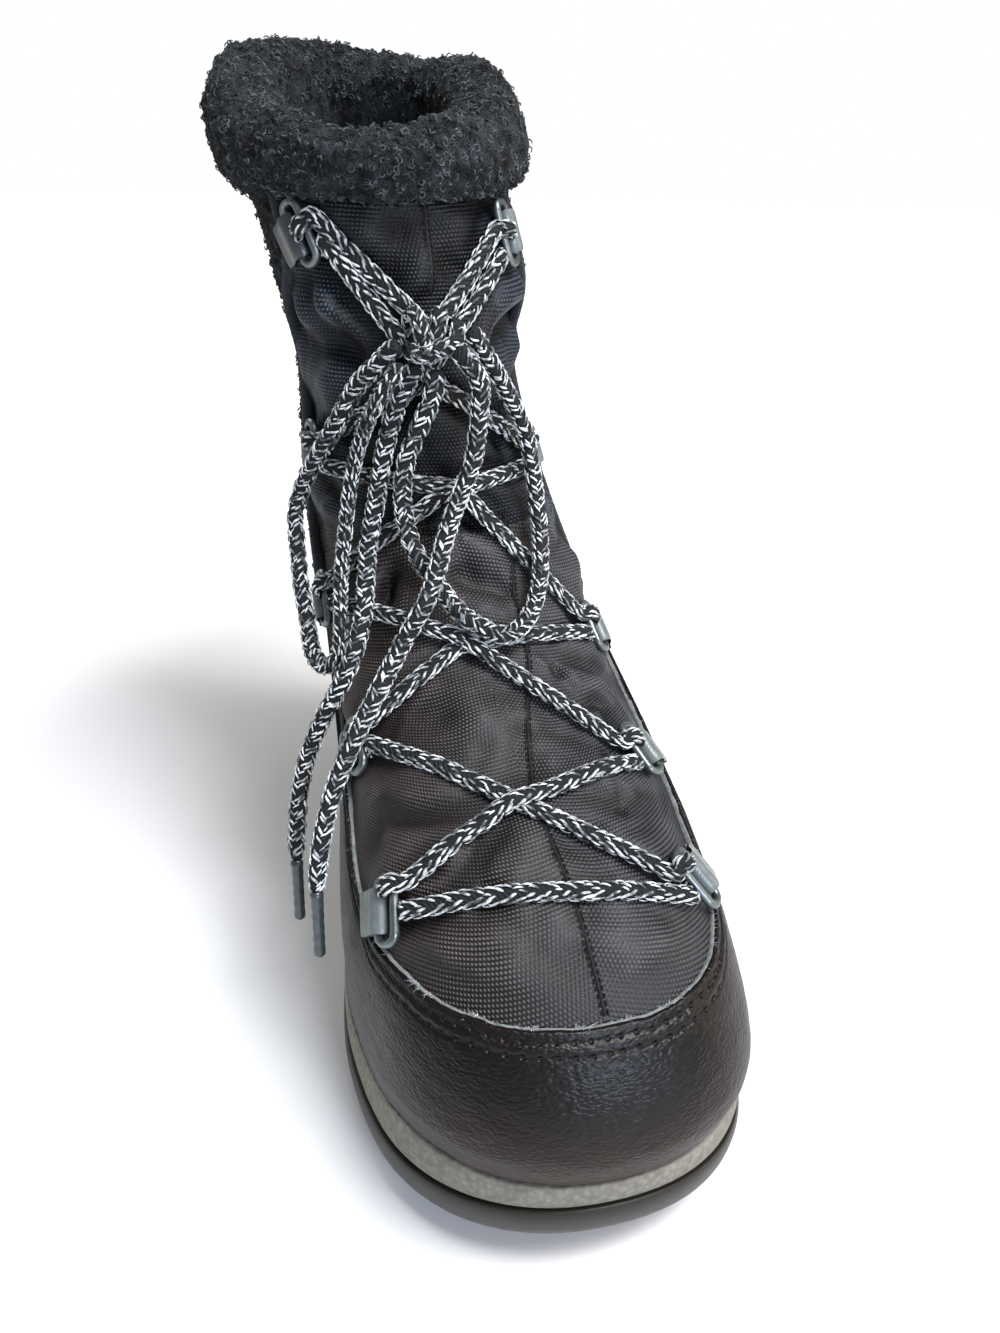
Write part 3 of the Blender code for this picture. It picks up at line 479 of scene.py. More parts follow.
def split_height(y):
    """Top of the outsole: its own height above the tread, under the footbed."""
    return np.minimum(underside(y) + OUTSOLE_HIGH, footbed(y) - MIDSOLE_LEAST)


def wall_rows(table, low, high, steps):
    """Rows of a sole's wall from a section, between two heights that vary along it."""
    rows = []
    for out, share in catmull_rom(table, steps):
        row = outline(out)
        row[:, 2] = low(row[:, 1]) + share * (high(row[:, 1]) - low(row[:, 1]))
        rows.append(row)
    return np.array(rows)


def wall_uv(rows):
    """Millimetres round the wall and up it, with the first column repeated at the end."""
    closed = np.concatenate([rows, rows[:, :1]], axis=1)
    round_it = arc(closed[len(closed) // 2])
    up = arc(rows[:, 0])
    return np.stack(np.broadcast_arrays(round_it[None], up[:, None]), axis=-1)


def filled(edge, height, along, across):
    """A sheet that fills an outline, with its height given at each x and y."""
    half = OUTLINE // 2
    near, far = edge[:half + 1], np.roll(edge[::-1], 1, axis=0)[:half + 1]
    bend = (1 - np.cos(np.linspace(0, np.pi, along))) / 2
    even = np.linspace(0, 1, along)
    y = edge[0, 1] + (edge[half, 1] - edge[0, 1]) * (0.25 * bend + 0.75 * even)
    right = np.interp(y, near[:, 1], near[:, 0])
    left = np.interp(y, far[:, 1], far[:, 0])
    share = np.linspace(0, 1, across)
    x = left[:, None] + (right - left)[:, None] * share
    y = np.broadcast_to(y[:, None], x.shape)
    return np.stack([x, y, height(x, y)], axis=-1)


def tread(x, y):
    """Height of the tread, with its chevron grooves."""
    depth = np.zeros_like(x)
    middle = smooth_read(FOOT, 2, y)
    for at in GROOVES:
        half = (np.interp(at, outer_half[:, 1], outer_half[:, 0])
                - smooth_read(FOOT, 2, at) - GROOVE_RIM)
        reach = np.abs(x - middle) / half
        away = np.abs(y - (at - CHEVRON * (1 - np.minimum(reach, 1)))) - GROOVE_WIDE / 2
        inside = np.clip(0.5 - away / GROOVE_SLOPE, 0, 1)
        inside *= np.clip((1.02 - reach) * 20, 0, 1)
        depth = np.maximum(depth, GROOVE_DEEP * inside)
    return underside(y) + depth


rows = wall_rows(OUTSOLE_WALL, underside, split_height, 4)
cup = new_sheet("outsole_wall", rows, rubber, wall_uv(rows), True)
bottom = filled(outline(OUTSOLE_WALL[0][0]), tread, 270, 47)[:, ::-1]
sole_under = new_sheet("outsole_tread", bottom, rubber, laid_flat(bottom))
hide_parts("outsole")


# ---- Midsole ------------------------------------------------------------------------
# A band of taupe foam between outsole and upper, 6 to 7 mm high at the side, with a
# pebbled skin from its mould. The upper is cemented into its top edge.

MIDSOLE_WALL = ((0.4, 0.01), (2.0, 0.01), (2.8, 0.12), (3.2, 0.4), (3.1, 0.72),
                (2.7, 0.95), (2.1, 1.04), (0.4, 1.02))

# Foam skin: matt, with rounded pebbles of about 1.8 mm, darker between them and in clouds.
foam, foam_tree, foam_shader = new_finish("pebbled midsole foam", {"Roughness": 0.82})
foam_place = add(foam_tree, "ShaderNodeTexCoord")
foam_pebble = add(foam_tree, "ShaderNodeTexVoronoi", {"feature": "SMOOTH_F1"}, {
    "Vector": foam_place.outputs["Object"], "Scale": 560.0, "Smoothness": 0.6})
foam_rise = add(foam_tree, "ShaderNodeMath", {"operation": "SUBTRACT"}, {
    0: 1.0, 1: foam_pebble.outputs[0]})
foam_cloud = add(foam_tree, "ShaderNodeTexNoise", inputs={
    "Vector": foam_place.outputs["Object"], "Scale": 90.0, "Detail": 5.0})
foam_shade = add(foam_tree, "ShaderNodeMath", {"operation": "MULTIPLY"}, {
    0: foam_rise.outputs[0], 1: foam_cloud.outputs[0]})
foam_tint = add(foam_tree, "ShaderNodeMix", {"data_type": "RGBA"}, {
    0: foam_shade.outputs[0], 6: linear("#625f57"), 7: linear("#a29e92")})
foam_bump = add(foam_tree, "ShaderNodeBump", inputs={
    "Height": foam_rise.outputs[0], "Strength": 0.7, "Distance": 0.0006})
drive(foam_tree, foam_shader, {"Base Color": foam_tint.outputs[2],
                               "Normal": foam_bump.outputs[0]})

rows = wall_rows(MIDSOLE_WALL, split_height, footbed, 3)
band = new_sheet("midsole_band", rows, foam, wall_uv(rows), True)
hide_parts("midsole")


# ---- Footbed ------------------------------------------------------------------------
# A felt insole 5 mm thick that lies loose in the shell, pressed a little where the heel
# and the ball of the foot stand.

INSOLE_INSET = -7.8
INSOLE_THICK = 5.0
HEEL_PRESS, BALL_PRESS = 0.9, 0.6


def clouded_finish(name, values, fibre, dark, light, relief=None, over=None, dull=None):
    """A finish clouded from dark to light by one noise, laid in the object's own space.
    fibre is the noise's own values, relief its strength and depth as bump, over the part
    of the noise where the colour turns, and dull the roughness at its two ends."""
    made, tree, shader = new_finish(name, values)
    spot = add(tree, "ShaderNodeTexCoord")
    mottle = add(tree, "ShaderNodeTexNoise", inputs={
        "Vector": spot.outputs["Object"], **fibre})
    share = mottle
    if over:
        share = add(tree, "ShaderNodeMapRange", inputs={
            "Value": mottle.outputs[0], "From Min": over[0], "From Max": over[1]})
    tint = add(tree, "ShaderNodeMix", {"data_type": "RGBA"}, {
        0: share.outputs[0], 6: linear(dark), 7: linear(light)})
    drive(tree, shader, {"Base Color": tint.outputs[2]})
    if dull:
        clouding = add(tree, "ShaderNodeMapRange", inputs={
            "Value": mottle.outputs[0], "To Min": dull[0], "To Max": dull[1]})
        drive(tree, shader, {"Roughness": clouding.outputs[0]})
    if relief:
        bump = add(tree, "ShaderNodeBump", inputs={
            "Height": mottle.outputs[0], "Strength": relief[0], "Distance": relief[1]})
        drive(tree, shader, {"Normal": bump.outputs[0]})
    return made


# Grey felt: matted fibre without a grain, paler where it is rubbed.
pad_felt = clouded_finish("footbed felt", {"Roughness": 0.95, "Specular IOR Level": 0.3},
                          {"Scale": 700.0, "Detail": 6.0}, "#2b2b2b", "#6a6967",
                          relief=(0.8, 0.0008))


def pressed(x, y):
    """Height of the felt, pressed down under the heel and the ball of the foot."""
    heel = np.exp(-((y - 95) / 26) ** 2 - (x / 22) ** 2)
    ball = np.exp(-((y + 75) / 34) ** 2 - (x / 34) ** 2)
    return footbed(y) + INSOLE_THICK - HEEL_PRESS * heel - BALL_PRESS * ball


pad_edge = outline(INSOLE_INSET)
pad_top = filled(pad_edge, pressed, 160, 41)
footbed_pad = new_sheet("footbed_pad", pad_top, pad_felt, laid_flat(pad_top))
skirt = np.array([pad_edge, pad_edge])
skirt[..., 2] = footbed(pad_edge[:, 1])
skirt[1, :, 2] += INSOLE_THICK
pad_side = new_sheet("footbed_edge", skirt, pad_felt, wall_uv(skirt), True)
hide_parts("insole")


# ---- Nylon upper and tongue ---------------------------------------------------------
# Heavy nylon over padding. It covers the vamp and runs up as the tongue, whose pleated
# gussets join it to the quarters, and it has puffed and creased between the laces.

chance = np.random.default_rng(11)      # the same scatter every time

# Woven nylon: raised rows of short thread tops over a black-brown ground, turned to each
# side of the centre seam. The thread tops are painted grey as a painted highlight. The real
# weave is finer, about 0.85 by 0.6 mm; it is drawn at 1.15 by 1.25 mm so that it still
# shows.
WEAVE_ROW, WEAVE_DASH = 1.15, 1.25
WEAVE_TURN = math.radians(17)
nylon, nylon_tree, nylon_shader = new_finish("woven ballistic nylon", {
    "Roughness": 0.42, "Specular IOR Level": 0.4})
nylon_map = add(nylon_tree, "ShaderNodeUVMap")
nylon_uv = add(nylon_tree, "ShaderNodeSeparateXYZ", inputs={0: nylon_map.outputs[0]})
weave_row = add(nylon_tree, "ShaderNodeMath", {"operation": "DIVIDE"}, {
    0: nylon_uv.outputs[1], 1: WEAVE_ROW})
weave_step = add(nylon_tree, "ShaderNodeMath", {"operation": "FLOOR"}, {
    0: weave_row.outputs[0]})
weave_brick = add(nylon_tree, "ShaderNodeMath", {"operation": "MULTIPLY"}, {
    0: weave_step.outputs[0], 1: 0.5})
weave_column = add(nylon_tree, "ShaderNodeMath", {"operation": "MULTIPLY_ADD"}, {
    0: nylon_uv.outputs[0], 1: 1 / WEAVE_DASH, 2: weave_brick.outputs[0]})
weave_waves = []
for line in (weave_row, weave_column):
    phase = add(nylon_tree, "ShaderNodeMath", {"operation": "MULTIPLY"}, {
        0: line.outputs[0], 1: 2 * math.pi})
    cosine = add(nylon_tree, "ShaderNodeMath", {"operation": "COSINE"}, {
        0: phase.outputs[0]})
    weave_waves.append(add(nylon_tree, "ShaderNodeMath", {"operation": "MULTIPLY_ADD"}, {
        0: cosine.outputs[0], 1: -0.5, 2: 0.5}))
weave_dash = add(nylon_tree, "ShaderNodeMath", {"operation": "MULTIPLY_ADD"}, {
    0: weave_waves[1].outputs[0], 1: 0.92, 2: 0.08})
weave_high = add(nylon_tree, "ShaderNodeMath", {"operation": "MULTIPLY"}, {
    0: weave_waves[0].outputs[0], 1: weave_dash.outputs[0]})
nylon_place = add(nylon_tree, "ShaderNodeTexCoord")
nylon_cloud = add(nylon_tree, "ShaderNodeTexNoise", inputs={
    "Vector": nylon_place.outputs["Object"], "Scale": 16.0, "Detail": 4.0})
nylon_side = add(nylon_tree, "ShaderNodeSeparateXYZ", inputs={
    0: nylon_place.outputs["Object"]})
nylon_tone = add(nylon_tree, "ShaderNodeMapRange", inputs={
    "Value": nylon_side.outputs[0], "From Min": -0.03, "From Max": 0.04})
ground_tint = add(nylon_tree, "ShaderNodeMix", {"data_type": "RGBA"}, {
    0: nylon_tone.outputs[0], 6: linear("#0a0605"), 7: linear("#07080a")})
# Painted highlight: the grey that the thread tops turn to.
thread_highlight_tint = add(nylon_tree, "ShaderNodeMix", {"data_type": "RGBA"}, {
    0: nylon_tone.outputs[0], 6: linear("#544b49"), 7: linear("#54575f")})
# Painted shade and highlight from the folds, with a cloud: paler thread tops on the ridges,
# darker in the troughs.
nylon_fold_light = add(nylon_tree, "ShaderNodeAttribute", {"attribute_name": "fold"})
thread_cloud_and_fold_light = add(nylon_tree, "ShaderNodeMath", {"operation": "MULTIPLY_ADD"}, {
    0: nylon_cloud.outputs[0], 1: 0.7, 2: nylon_fold_light.outputs["Fac"]})
thread_shine = add(nylon_tree, "ShaderNodeMath", {"operation": "MULTIPLY_ADD"}, {
    0: thread_cloud_and_fold_light.outputs[0], 1: 1.15, 2: -0.12})
# Painted highlight: how far each point turns from the dark ground to the grey of a thread
# top.
painted_thread_highlight = add(nylon_tree, "ShaderNodeMath",
                 {"operation": "MULTIPLY", "use_clamp": True}, {
                     0: weave_high.outputs[0], 1: thread_shine.outputs[0]})
nylon_tint = add(nylon_tree, "ShaderNodeMix", {"data_type": "RGBA"}, {
    0: painted_thread_highlight.outputs[0], 6: ground_tint.outputs[2], 7: thread_highlight_tint.outputs[2]})
nylon_bump = add(nylon_tree, "ShaderNodeBump", inputs={
    "Height": weave_high.outputs[0], "Strength": 0.8, "Distance": 0.0004})
drive(nylon_tree, nylon_shader, {"Base Color": nylon_tint.outputs[2],
                                 "Normal": nylon_bump.outputs[0]})

# Creases: depth in millimetres, negative for a ridge, half width, and where
# each runs, as level and angle.
CREASES = (
    (1.6, 3.0, ((159, 2), (159, 6), (154, 10))),
    (1.3, 4.5, ((145, -2), (141, 4), (138, 14))),
    (2.2, 3.5, ((145, -22), (133, -28))),
    (-0.8, 6.0, ((119, -20), (119, -12), (116, -6), (108, -2))),
    (1.2, 3.0, ((111, 24), (108, 36), (103, 36))),
    (0.9, 2.5, ((121, 20), (116, 22))),
    (1.0, 3.0, ((125, 20), (124, 32), (122, 36))),
    (-1.6, 6.0, ((143, 44), (137, 48), (132, 42))),
    (0.9, 2.2, ((100, 24), (97, 24), (97, 20))),
    (0.8, 2.2, ((98, 30), (95, 34))),
    (0.8, 2.5, ((97, 44), (92, 48), (90, 42))),
    (0.7, 2.5, ((103, 28), (100, 26))),
    (-0.8, 3.0, ((86, -38), (89, -30), (90, -20))),
    (1.2, 6.0, ((95, -48), (89, -50), (79, -52))),
    (0.5, 3.0, ((92, -18), (89, -16))),
    (-0.7, 8.0, ((73, -40), (82, -28), (89, -14))),
    (2.2, 5.0, ((242, -40), (234, -32), (228, -24), (223, -16))),
    (2.6, 5.0, ((210, -56), (208, -38), (204, -26))),
    (2.6, 5.0, ((221, 62), (213, 58), (208, 40), (201, 32))),
    (2.0, 4.0, ((213, 58), (204, 58), (191, 44))),
    (1.0, 4.0, ((186, -6), (172, -4), (157, -8), (146, -12))),
    (0.8, 4.0, ((236, 10), (226, 12))),
    (0.7, 4.0, ((244, 0), (228, -14))),
    (1.1, 4.0, ((232, -44), (218, -42), (213, -36))),
    (1.4, 3.5, ((186, -50), (182, -38), (178, -26))),
    (1.2, 3.5, ((164, -52), (163, -40), (165, -28))),
    (1.4, 3.5, ((188, 50), (183, 36), (178, 26))),
    (1.2, 3.5, ((162, 52), (160, 40), (162, 28))),
)
# Where the tight laces press the cloth down, as level and angle.
PRESSED = (
    ((76, -36), (76, -5), (80, 26)), ((87, 26), (101, -3), (94, -46)),
    ((83, -36), (101, -3), (94, 36)), ((101, 36), (127, -2), (123, -50)),
    ((102, -46), (127, -2), (113, 42)), ((121, 42), (169, 4), (170, -49)),
    ((131, -50), (169, 4), (168, 44)), ((176, 44), (201, 0), (233, -36)),
    ((178, -49), (201, 0), (233, 37)), ((240, -35), (216, -12), (240, 37)),
)
# The parting of the instep: above it the weave runs straight, as the tongue's own piece.
INSTEP_SEAM = ((130, 14), (137, 15), (148, 18), (159, 22))
TONGUE_LEVEL = 159.0
CREASE_GAIN = 2.4       # how much deeper the creases are than their tables say
LACE_PRESS = 4.6        # half width of the cloth that a tight lace presses down
EDGE_OVERLAP = 6.0      # degrees of nylon under the felt

# Front edge of the quarters, as an angle round the ring from its front point, on the
# outer and the inner side of the foot. It is drawn back between the lace rings.
#      level   outer   inner
EDGE = (
    (33.0,     58.0,   58.0),
    (80.0,     51.0,   54.0),
    (89.0,     55.0,   60.0),
    (98.0,     53.0,   59.0),
    (112.0,    60.0,   63.0),
    (127.0,    59.0,   63.0),
    (152.0,    65.0,   68.0),
    (174.0,    57.0,   63.0),
    (205.0,    66.0,   66.0),
    (236.0,    51.0,   49.0),
    (272.0,    49.0,   47.0),
)
# Where the leather ends on the nylon, as y and its height on the outer and inner side.
RAND_EDGE = (
    (-160.0,    74.0,    74.0),
    (-126.0,    75.5,    74.5),
    (-112.0,    76.5,    73.5),
    (-98.0,     78.5,    73.0),
    (-88.0,     81.0,    73.0),
    (-72.0,     87.0,    78.0),
    (-46.0,     94.5,    88.0),
    (-22.0,    100.0,    95.0),
    (2.0,      118.0,   116.0),
    (30.0,     117.0,   117.0),
    (80.0,     106.0,   106.0),
    (160.0,    102.0,   102.0),
)


def edge_angle(level, side):
    """Angle of the quarter edge, signed: side is 1 on the outer side, -1 on the inner."""
    return side * smooth_read(EDGE, 1 if side > 0 else 2, level)


FORM_LEVELS = np.arange(FEATHER_LEVEL, TOP_LEVEL + 0.5)
FORM = np.array([raw_skin(level, np.arange(360.0)) for level in FORM_LEVELS])


def skin(level, angle, offset=0.0):
    """The boot's outer surface, moved outward, read smoothly from a fine net of points."""
    level, angle, offset = np.broadcast_arrays(*(np.asarray(v, float)
                                                 for v in (level, angle, offset)))
    row = np.clip(level - FEATHER_LEVEL, 0, len(FORM) - 1.0)
    column_at = np.mod(angle, 360.0)
    r = np.minimum(row.astype(int), len(FORM) - 2)
    c = column_at.astype(int)
    reads = []
    for t in (row - r, column_at - c):
        reads.append((np.stack([-t / 2 + t * t - t ** 3 / 2, 1 - 2.5 * t * t + 1.5 * t ** 3,
                                t / 2 + 2 * t * t - 1.5 * t ** 3, (t ** 3 - t * t) / 2]),
                      np.stack([-0.5 + 2 * t - 1.5 * t * t, -5 * t + 4.5 * t * t,
                                0.5 + 4 * t - 4.5 * t * t, 1.5 * t * t - t])))
    (up, up_slope), (round_it, round_slope) = reads
    point, climb, sweep = 0.0, 0.0, 0.0
    for i in range(4):
        line = np.clip(r + i - 1, 0, len(FORM) - 1)
        for j in range(4):
            near = FORM[line, (c + j - 1) % 360]
            point = point + (up[i] * round_it[j])[..., None] * near
            climb = climb + (up_slope[i] * round_it[j])[..., None] * near
            sweep = sweep + (up[i] * round_slope[j])[..., None] * near
    return point + offset[..., None] * unit(np.cross(sweep, climb))


def skin_and_out(level, angle, offset=0.0):
    """Points on the boot and the outward direction at each."""
    near = skin(level, angle, offset)
    return near, skin(level, angle, np.asarray(offset) + 1.0) - near


def read_along(at, where, values):
    """Points or directions at some distances along a line, from those at its points."""
    return np.stack([np.interp(at, where, values[:, k]) for k in range(3)], axis=-1)


def evened(values):
    """The same values, each drawn towards the two beside it."""
    drawn = values.copy()
    drawn[1:-1] = (values[:-2] + 2 * values[1:-1] + values[2:]) / 4
    return drawn


def spaced(points, step):
    """The same line with its points at equal steps."""
    along = arc(points)
    where = np.linspace(0, along[-1], max(2, int(round(along[-1] / step)) + 1))
    return read_along(where, along, points)


def spaced_with(line, out, step):
    """The same line at equal steps, with its outward direction at each point."""
    even = spaced(line, step)
    where = np.linspace(0, arc(line)[-1], len(even))
    return even, unit(read_along(where, arc(line), out))


def cloud(points, size, seed=0.0):
    """Smooth noise between about -1 and 1 at each point, with lumps of that size."""
    shift = Vector((seed * 17.3, seed * 5.1, seed * 9.7))
    flat = np.asarray(points, float).reshape(-1, 3) / size
    read = [noise.noise(Vector(p) + shift) for p in flat]
    return np.array(read).reshape(np.shape(points)[:-1])


def on_skin(route, steps=6, offset=0.0):
    """A smooth line on the boot through a few levels and angles, with its outward."""
    smooth = catmull_rom(np.array(route, float), steps)
    return skin_and_out(smooth[:, 0], smooth[:, 1], offset)


def creased(base):
    """How far the creases move each point in or out."""
    flat = base.reshape(-1, 3)
    moved = np.zeros(len(flat))
    for depth, wide, route in CREASES:
        line, _ = on_skin(route)
        near = np.linalg.norm(flat - line[len(line) // 2], axis=1) < 75
        start, span = line[:-1], np.diff(line, axis=0)
        gap = flat[near][:, None] - start
        along = np.clip((gap * span).sum(-1) / (span * span).sum(-1), 0, 1)
        away = np.linalg.norm(gap - along[..., None] * span, axis=-1)
        best = away.argmin(1)
        distance = away[np.arange(len(best)), best]
        share = (best + along[np.arange(len(best)), best]) / len(span)
        taper = 0.25 + 0.75 * np.sin(np.pi * np.clip(share, 0, 1)) ** 0.7
        dent = np.exp(-(distance / wide) ** 2)
        swell = 0.4 * np.exp(-((distance - 2.1 * wide) / wide) ** 2)
        moved[near] += taper * depth * (swell * (depth > 0) - dent)
    return moved.reshape(base.shape[:2])


def near_laces(base):
    """How near each point lies to a tight lace: 1 right under it, 0 away from it."""
    flat = base.reshape(-1, 3)
    best = np.full(len(flat), 99.0)
    for route in PRESSED:
        line, _ = on_skin(route, 16)
        for spot in spaced(line, 1.5):
            best = np.minimum(best, np.linalg.norm(flat - spot, axis=1))
    return np.exp(-(best / LACE_PRESS) ** 4).reshape(base.shape[:2])


def side_reach(level, side, overlap):
    """How far round the nylon goes: well under the leather low down, and past the edge of
    the felt by the overlap higher up."""
    share = blend(level, 100.0, 118.0)
    edge = np.abs(edge_angle(level, side)) + overlap
    return side * ((1 - share) * 100.0 + share * edge)


def leather_top(points):
    """Height of the leather's upper edge above each point of the boot."""
    outer, inner = (np.interp(points[..., 1], *catmull_rom(
        [(row[0], row[side]) for row in RAND_EDGE], 3).T) for side in (1, 2))
    return (outer + inner) / 2 + points[..., 0] / 90.0 * (outer - inner)


front_arc = arc(FORM[:, 0])
fine = np.arange(np.interp(62.0, FORM_LEVELS, front_arc),
                 np.interp(262.0, FORM_LEVELS, front_arc), 1.1)
levels = np.interp(fine, front_arc, FORM_LEVELS)
share = np.linspace(-1, 1, 203)
angles = np.where(share < 0, -share * side_reach(levels, -1, EDGE_OVERLAP)[:, None],
                  share * side_reach(levels, 1, EDGE_OVERLAP)[:, None])
flat_base = skin(levels[:, None], angles)
free = np.clip((flat_base[..., 2] - leather_top(flat_base) - 1.0) / 9.0, 0, 1)
puff = (0.9 + 2.2 * cloud(flat_base, 26.0, 1.0) + 2.1 * cloud(flat_base, 13.0, 2.0)
        + 0.6 * cloud(flat_base, 6.0, 3.0))
# The gussets beside the tongue puff and fall in by turns between the rings.
gusset = np.clip((np.abs(angles) - 24) / 14, 0, 1) * blend(levels[:, None], 140.0, 160.0)
pleat = gusset * (0.7 * np.sin(levels[:, None] / 5.1 + np.abs(angles) / 13.0)
                  + 3.0 * cloud(flat_base * (1, 1, 1.7), 17.0, 4.0))
offsets = 0.35 + free * (puff + CREASE_GAIN * creased(flat_base) + pleat)
held = near_laces(flat_base)
offsets = (1 - held) * offsets + held * np.minimum(offsets, 0.15)
nylon_points = skin(levels[:, None], angles, offsets)
faces = grid(*angles.shape)
across = laid_flat(nylon_points)[..., 0]
corners = np.stack([across, np.broadcast_to(fine[:, None], angles.shape)],
                   axis=-1).reshape(-1, 2)[faces]
middle_uv = corners.mean(axis=1)
face_level = np.interp(middle_uv[:, 1], front_arc, FORM_LEVELS)
on_tongue = face_level > TONGUE_LEVEL - 4
lean = np.where(on_tongue, 0.0, np.sign(middle_uv[:, 0]) * WEAVE_TURN)[:, None]
turned_uv = np.stack([
    corners[..., 0] * np.cos(lean) - corners[..., 1] * np.sin(lean),
    corners[..., 0] * np.sin(lean) + corners[..., 1] * np.cos(lean)], axis=-1)
nylon_sheet = new_piece("nylon_upper", nylon_points, faces, nylon, turned_uv)
# Painted highlight on the tops of the folds and painted shade where they fall in.
around = offsets
for _ in range(30):
    around = evened(evened(around).T).T
fold = nylon_sheet.data.attributes.new("fold", "FLOAT", "POINT")
fold.data.foreach_set("value", np.clip(0.5 + 0.8 * (offsets - around), 0, 1).ravel())
# The gussets are the same cloth from a bluer roll. The tongue is the same cloth painted
# much darker, as painted shade on its steep face.
for kind, share_of in (("gusset", (0.62, 0.74, 0.88)), ("tongue", (0.26, 0.28, 0.31))):
    rolled = nylon.copy()
    rolled.name = f"woven {kind} nylon"
    rolled.node_tree.nodes["Principled BSDF"].inputs[
        "Specular IOR Level"].default_value = 0.2
    for node in rolled.node_tree.nodes:
        if node.bl_idname == "ShaderNodeMix" and not node.inputs[6].is_linked:
            for k in (6, 7):
                node.inputs[k].default_value = (*[
                    a * b for a, b in zip(node.inputs[7].default_value, share_of)], 1.0)
    nylon_sheet.data.materials.append(rolled)
on_gusset = gusset.ravel()[faces].mean(axis=1) > 0.5
roll = np.where(on_gusset, 1, np.where(on_tongue, 2, 0))
nylon_sheet.data.polygons.foreach_set("material_index", roll.astype(np.int32))
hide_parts("upper", "tongue")


def on_nylon(route, steps=10, lift=0.0):
    """A line that lies on the creased nylon, and its outward direction."""
    smooth = catmull_rom(np.array(route, float), steps)
    line, out = [], []
    for level, angle in smooth:
        r = int(np.clip(np.searchsorted(levels, level), 1, len(levels) - 1))
        c = int(np.argmin(np.abs(angles[r] - angle)))
        line.append(nylon_points[r, c])
        out.append(skin(level, angle, 1.0) - skin(level, angle))
    line, out = np.array(line), unit(np.array(out))
    for _ in range(3):
        line = evened(line)
    return line + lift * out, out


def tubes(lines, hints, section):
    """Points and faces of closed tubes, one along each line. hints is roughly the side that
    faces up, and section is pairs of sideways and up, alike or different at each point."""
    lines = np.asarray(lines, float)
    ahead = unit(np.gradient(lines, axis=1))
    sideways = unit(np.cross(ahead, np.broadcast_to(hints, lines.shape)))
    upright = np.cross(sideways, ahead)
    section = np.asarray(section, float)
    points = (lines[:, :, None] + section[..., 0, None] * sideways[:, :, None]
              + section[..., 1, None] * upright[:, :, None])
    count, long, sides = points.shape[:3]
    faces = grid(long, sides, True)[:, ::-1]
    faces = (faces[None] + (np.arange(count) * long * sides)[:, None, None]).reshape(-1, 4)
    return points.reshape(-1, 3), faces


def ring_of(sides, wide, high=None):
    """An oval section with that half width and half height."""
    t = np.linspace(0, 2 * np.pi, sides, endpoint=False)
    return np.stack([wide * np.cos(t), (high or wide) * np.sin(t)], axis=-1)


def stitches(name, line, out, finish, pitch, long, thick, lift=0.0, wave=0.0):
    """A row of sewn stitches: a short thread from hole to hole, arched over the surface."""
    along = arc(line)
    starts = np.arange(pitch / 2, along[-1] - pitch / 2, pitch)
    share = np.linspace(-1, 1, 5)
    where = starts[:, None] + share * long / 2
    middle, rise = read_along(where, along, line), read_along(where, along, out)
    arch = lift + thick * (0.9 - 1.9 * share ** 4)
    arch = arch + wave * chance.normal(0, 1, (len(starts), 1))
    body = np.sqrt(1.05 - share ** 6)[:, None, None] * ring_of(5, thick, thick * 0.8)
    points, faces = tubes(middle + arch[..., None] * rise, rise, body[None])
    return new_piece(name, points, faces, finish)


# Seams of the vamp: a lapped slit down the middle with a rope-like ridge of thread on each
# side of it, and one on the instep and the tongue. Thread is black waxed polyester.
thread, thread_tree, thread_shader = new_finish("black sewing thread", {
    "Roughness": 0.6, "Specular IOR Level": 0.3})
thread_place = add(thread_tree, "ShaderNodeTexCoord")
thread_twist = add(thread_tree, "ShaderNodeTexWave", {"bands_direction": "DIAGONAL"}, {
    "Vector": thread_place.outputs["Object"], "Scale": 700.0, "Distortion": 1.0})
thread_shade = add(thread_tree, "ShaderNodeMix", {"data_type": "RGBA"}, {
    0: thread_twist.outputs[1], 6: linear("#040404"), 7: linear("#161719")})
thread_bump = add(thread_tree, "ShaderNodeBump", inputs={
    "Height": thread_twist.outputs[1], "Strength": 0.5, "Distance": 0.0002})
drive(thread_tree, thread_shader, {"Base Color": thread_shade.outputs[2],
                                   "Normal": thread_bump.outputs[0]})

SEAM_HALF, SEAM_PITCH, SEAM_LONG, SEAM_THREAD = 0.85, 1.9, 1.6, 0.26
VAMP_SEAM = ((74, 0), (79, 0), (86, 0), (90, 0), (95, 0), (100, 0), (105, 2), (113, 6),
             (121, 12), (130, 14))
SEAMS = (
    ("vamp_seam", VAMP_SEAM), ("instep_seam", INSTEP_SEAM),
    ("tongue_seam", ((246, 9), (234, 6), (224, 4))),
    ("tongue_foot_seam", ((150, -34), (154, -20), (157, -6), (159, 8), (159, 22))),
)
for name, route in SEAMS:
    line, out = on_nylon(route)
    line, out = spaced_with(line, out, 1.0)
    across = unit(np.cross(np.gradient(line, axis=0), out))
    for way, hand in ((-1, "left"), (1, "right")):
        row = stitches(f"{name}_{hand}", line + way * SEAM_HALF * across, out, thread,
                       SEAM_PITCH, SEAM_LONG, SEAM_THREAD, 0.05)
    lap = new_piece(f"{name}_lap", *tubes((line + 0.05 * out)[None], out[None],
                                          ring_of(8, 0.5, 0.28)), thread)


# ---- Leather rand -------------------------------------------------------------------
# Coated leather round the foot, with a raw cut edge at the top and two rows of stitching
# just below it. It is lasted into the midsole, so its skin is pulled into fine wrinkles.

RAND_OUT = 2.3          # face of the leather above the nylon's own surface
STITCH_ROWS = (3.0, 6.5)
STITCH_PITCH = 4.3
STITCH_LONG, STITCH_THREAD = 3.3, 0.17
RAND_FOOT = 33.4        # level of the leather's lower edge, just inside the midsole
RAND_COLUMNS = 450
TOP_ROWS = np.arange(0.0, 9.0, 0.4)     # distances below the edge, finer where it is sewn
DOWN_ROWS = 34
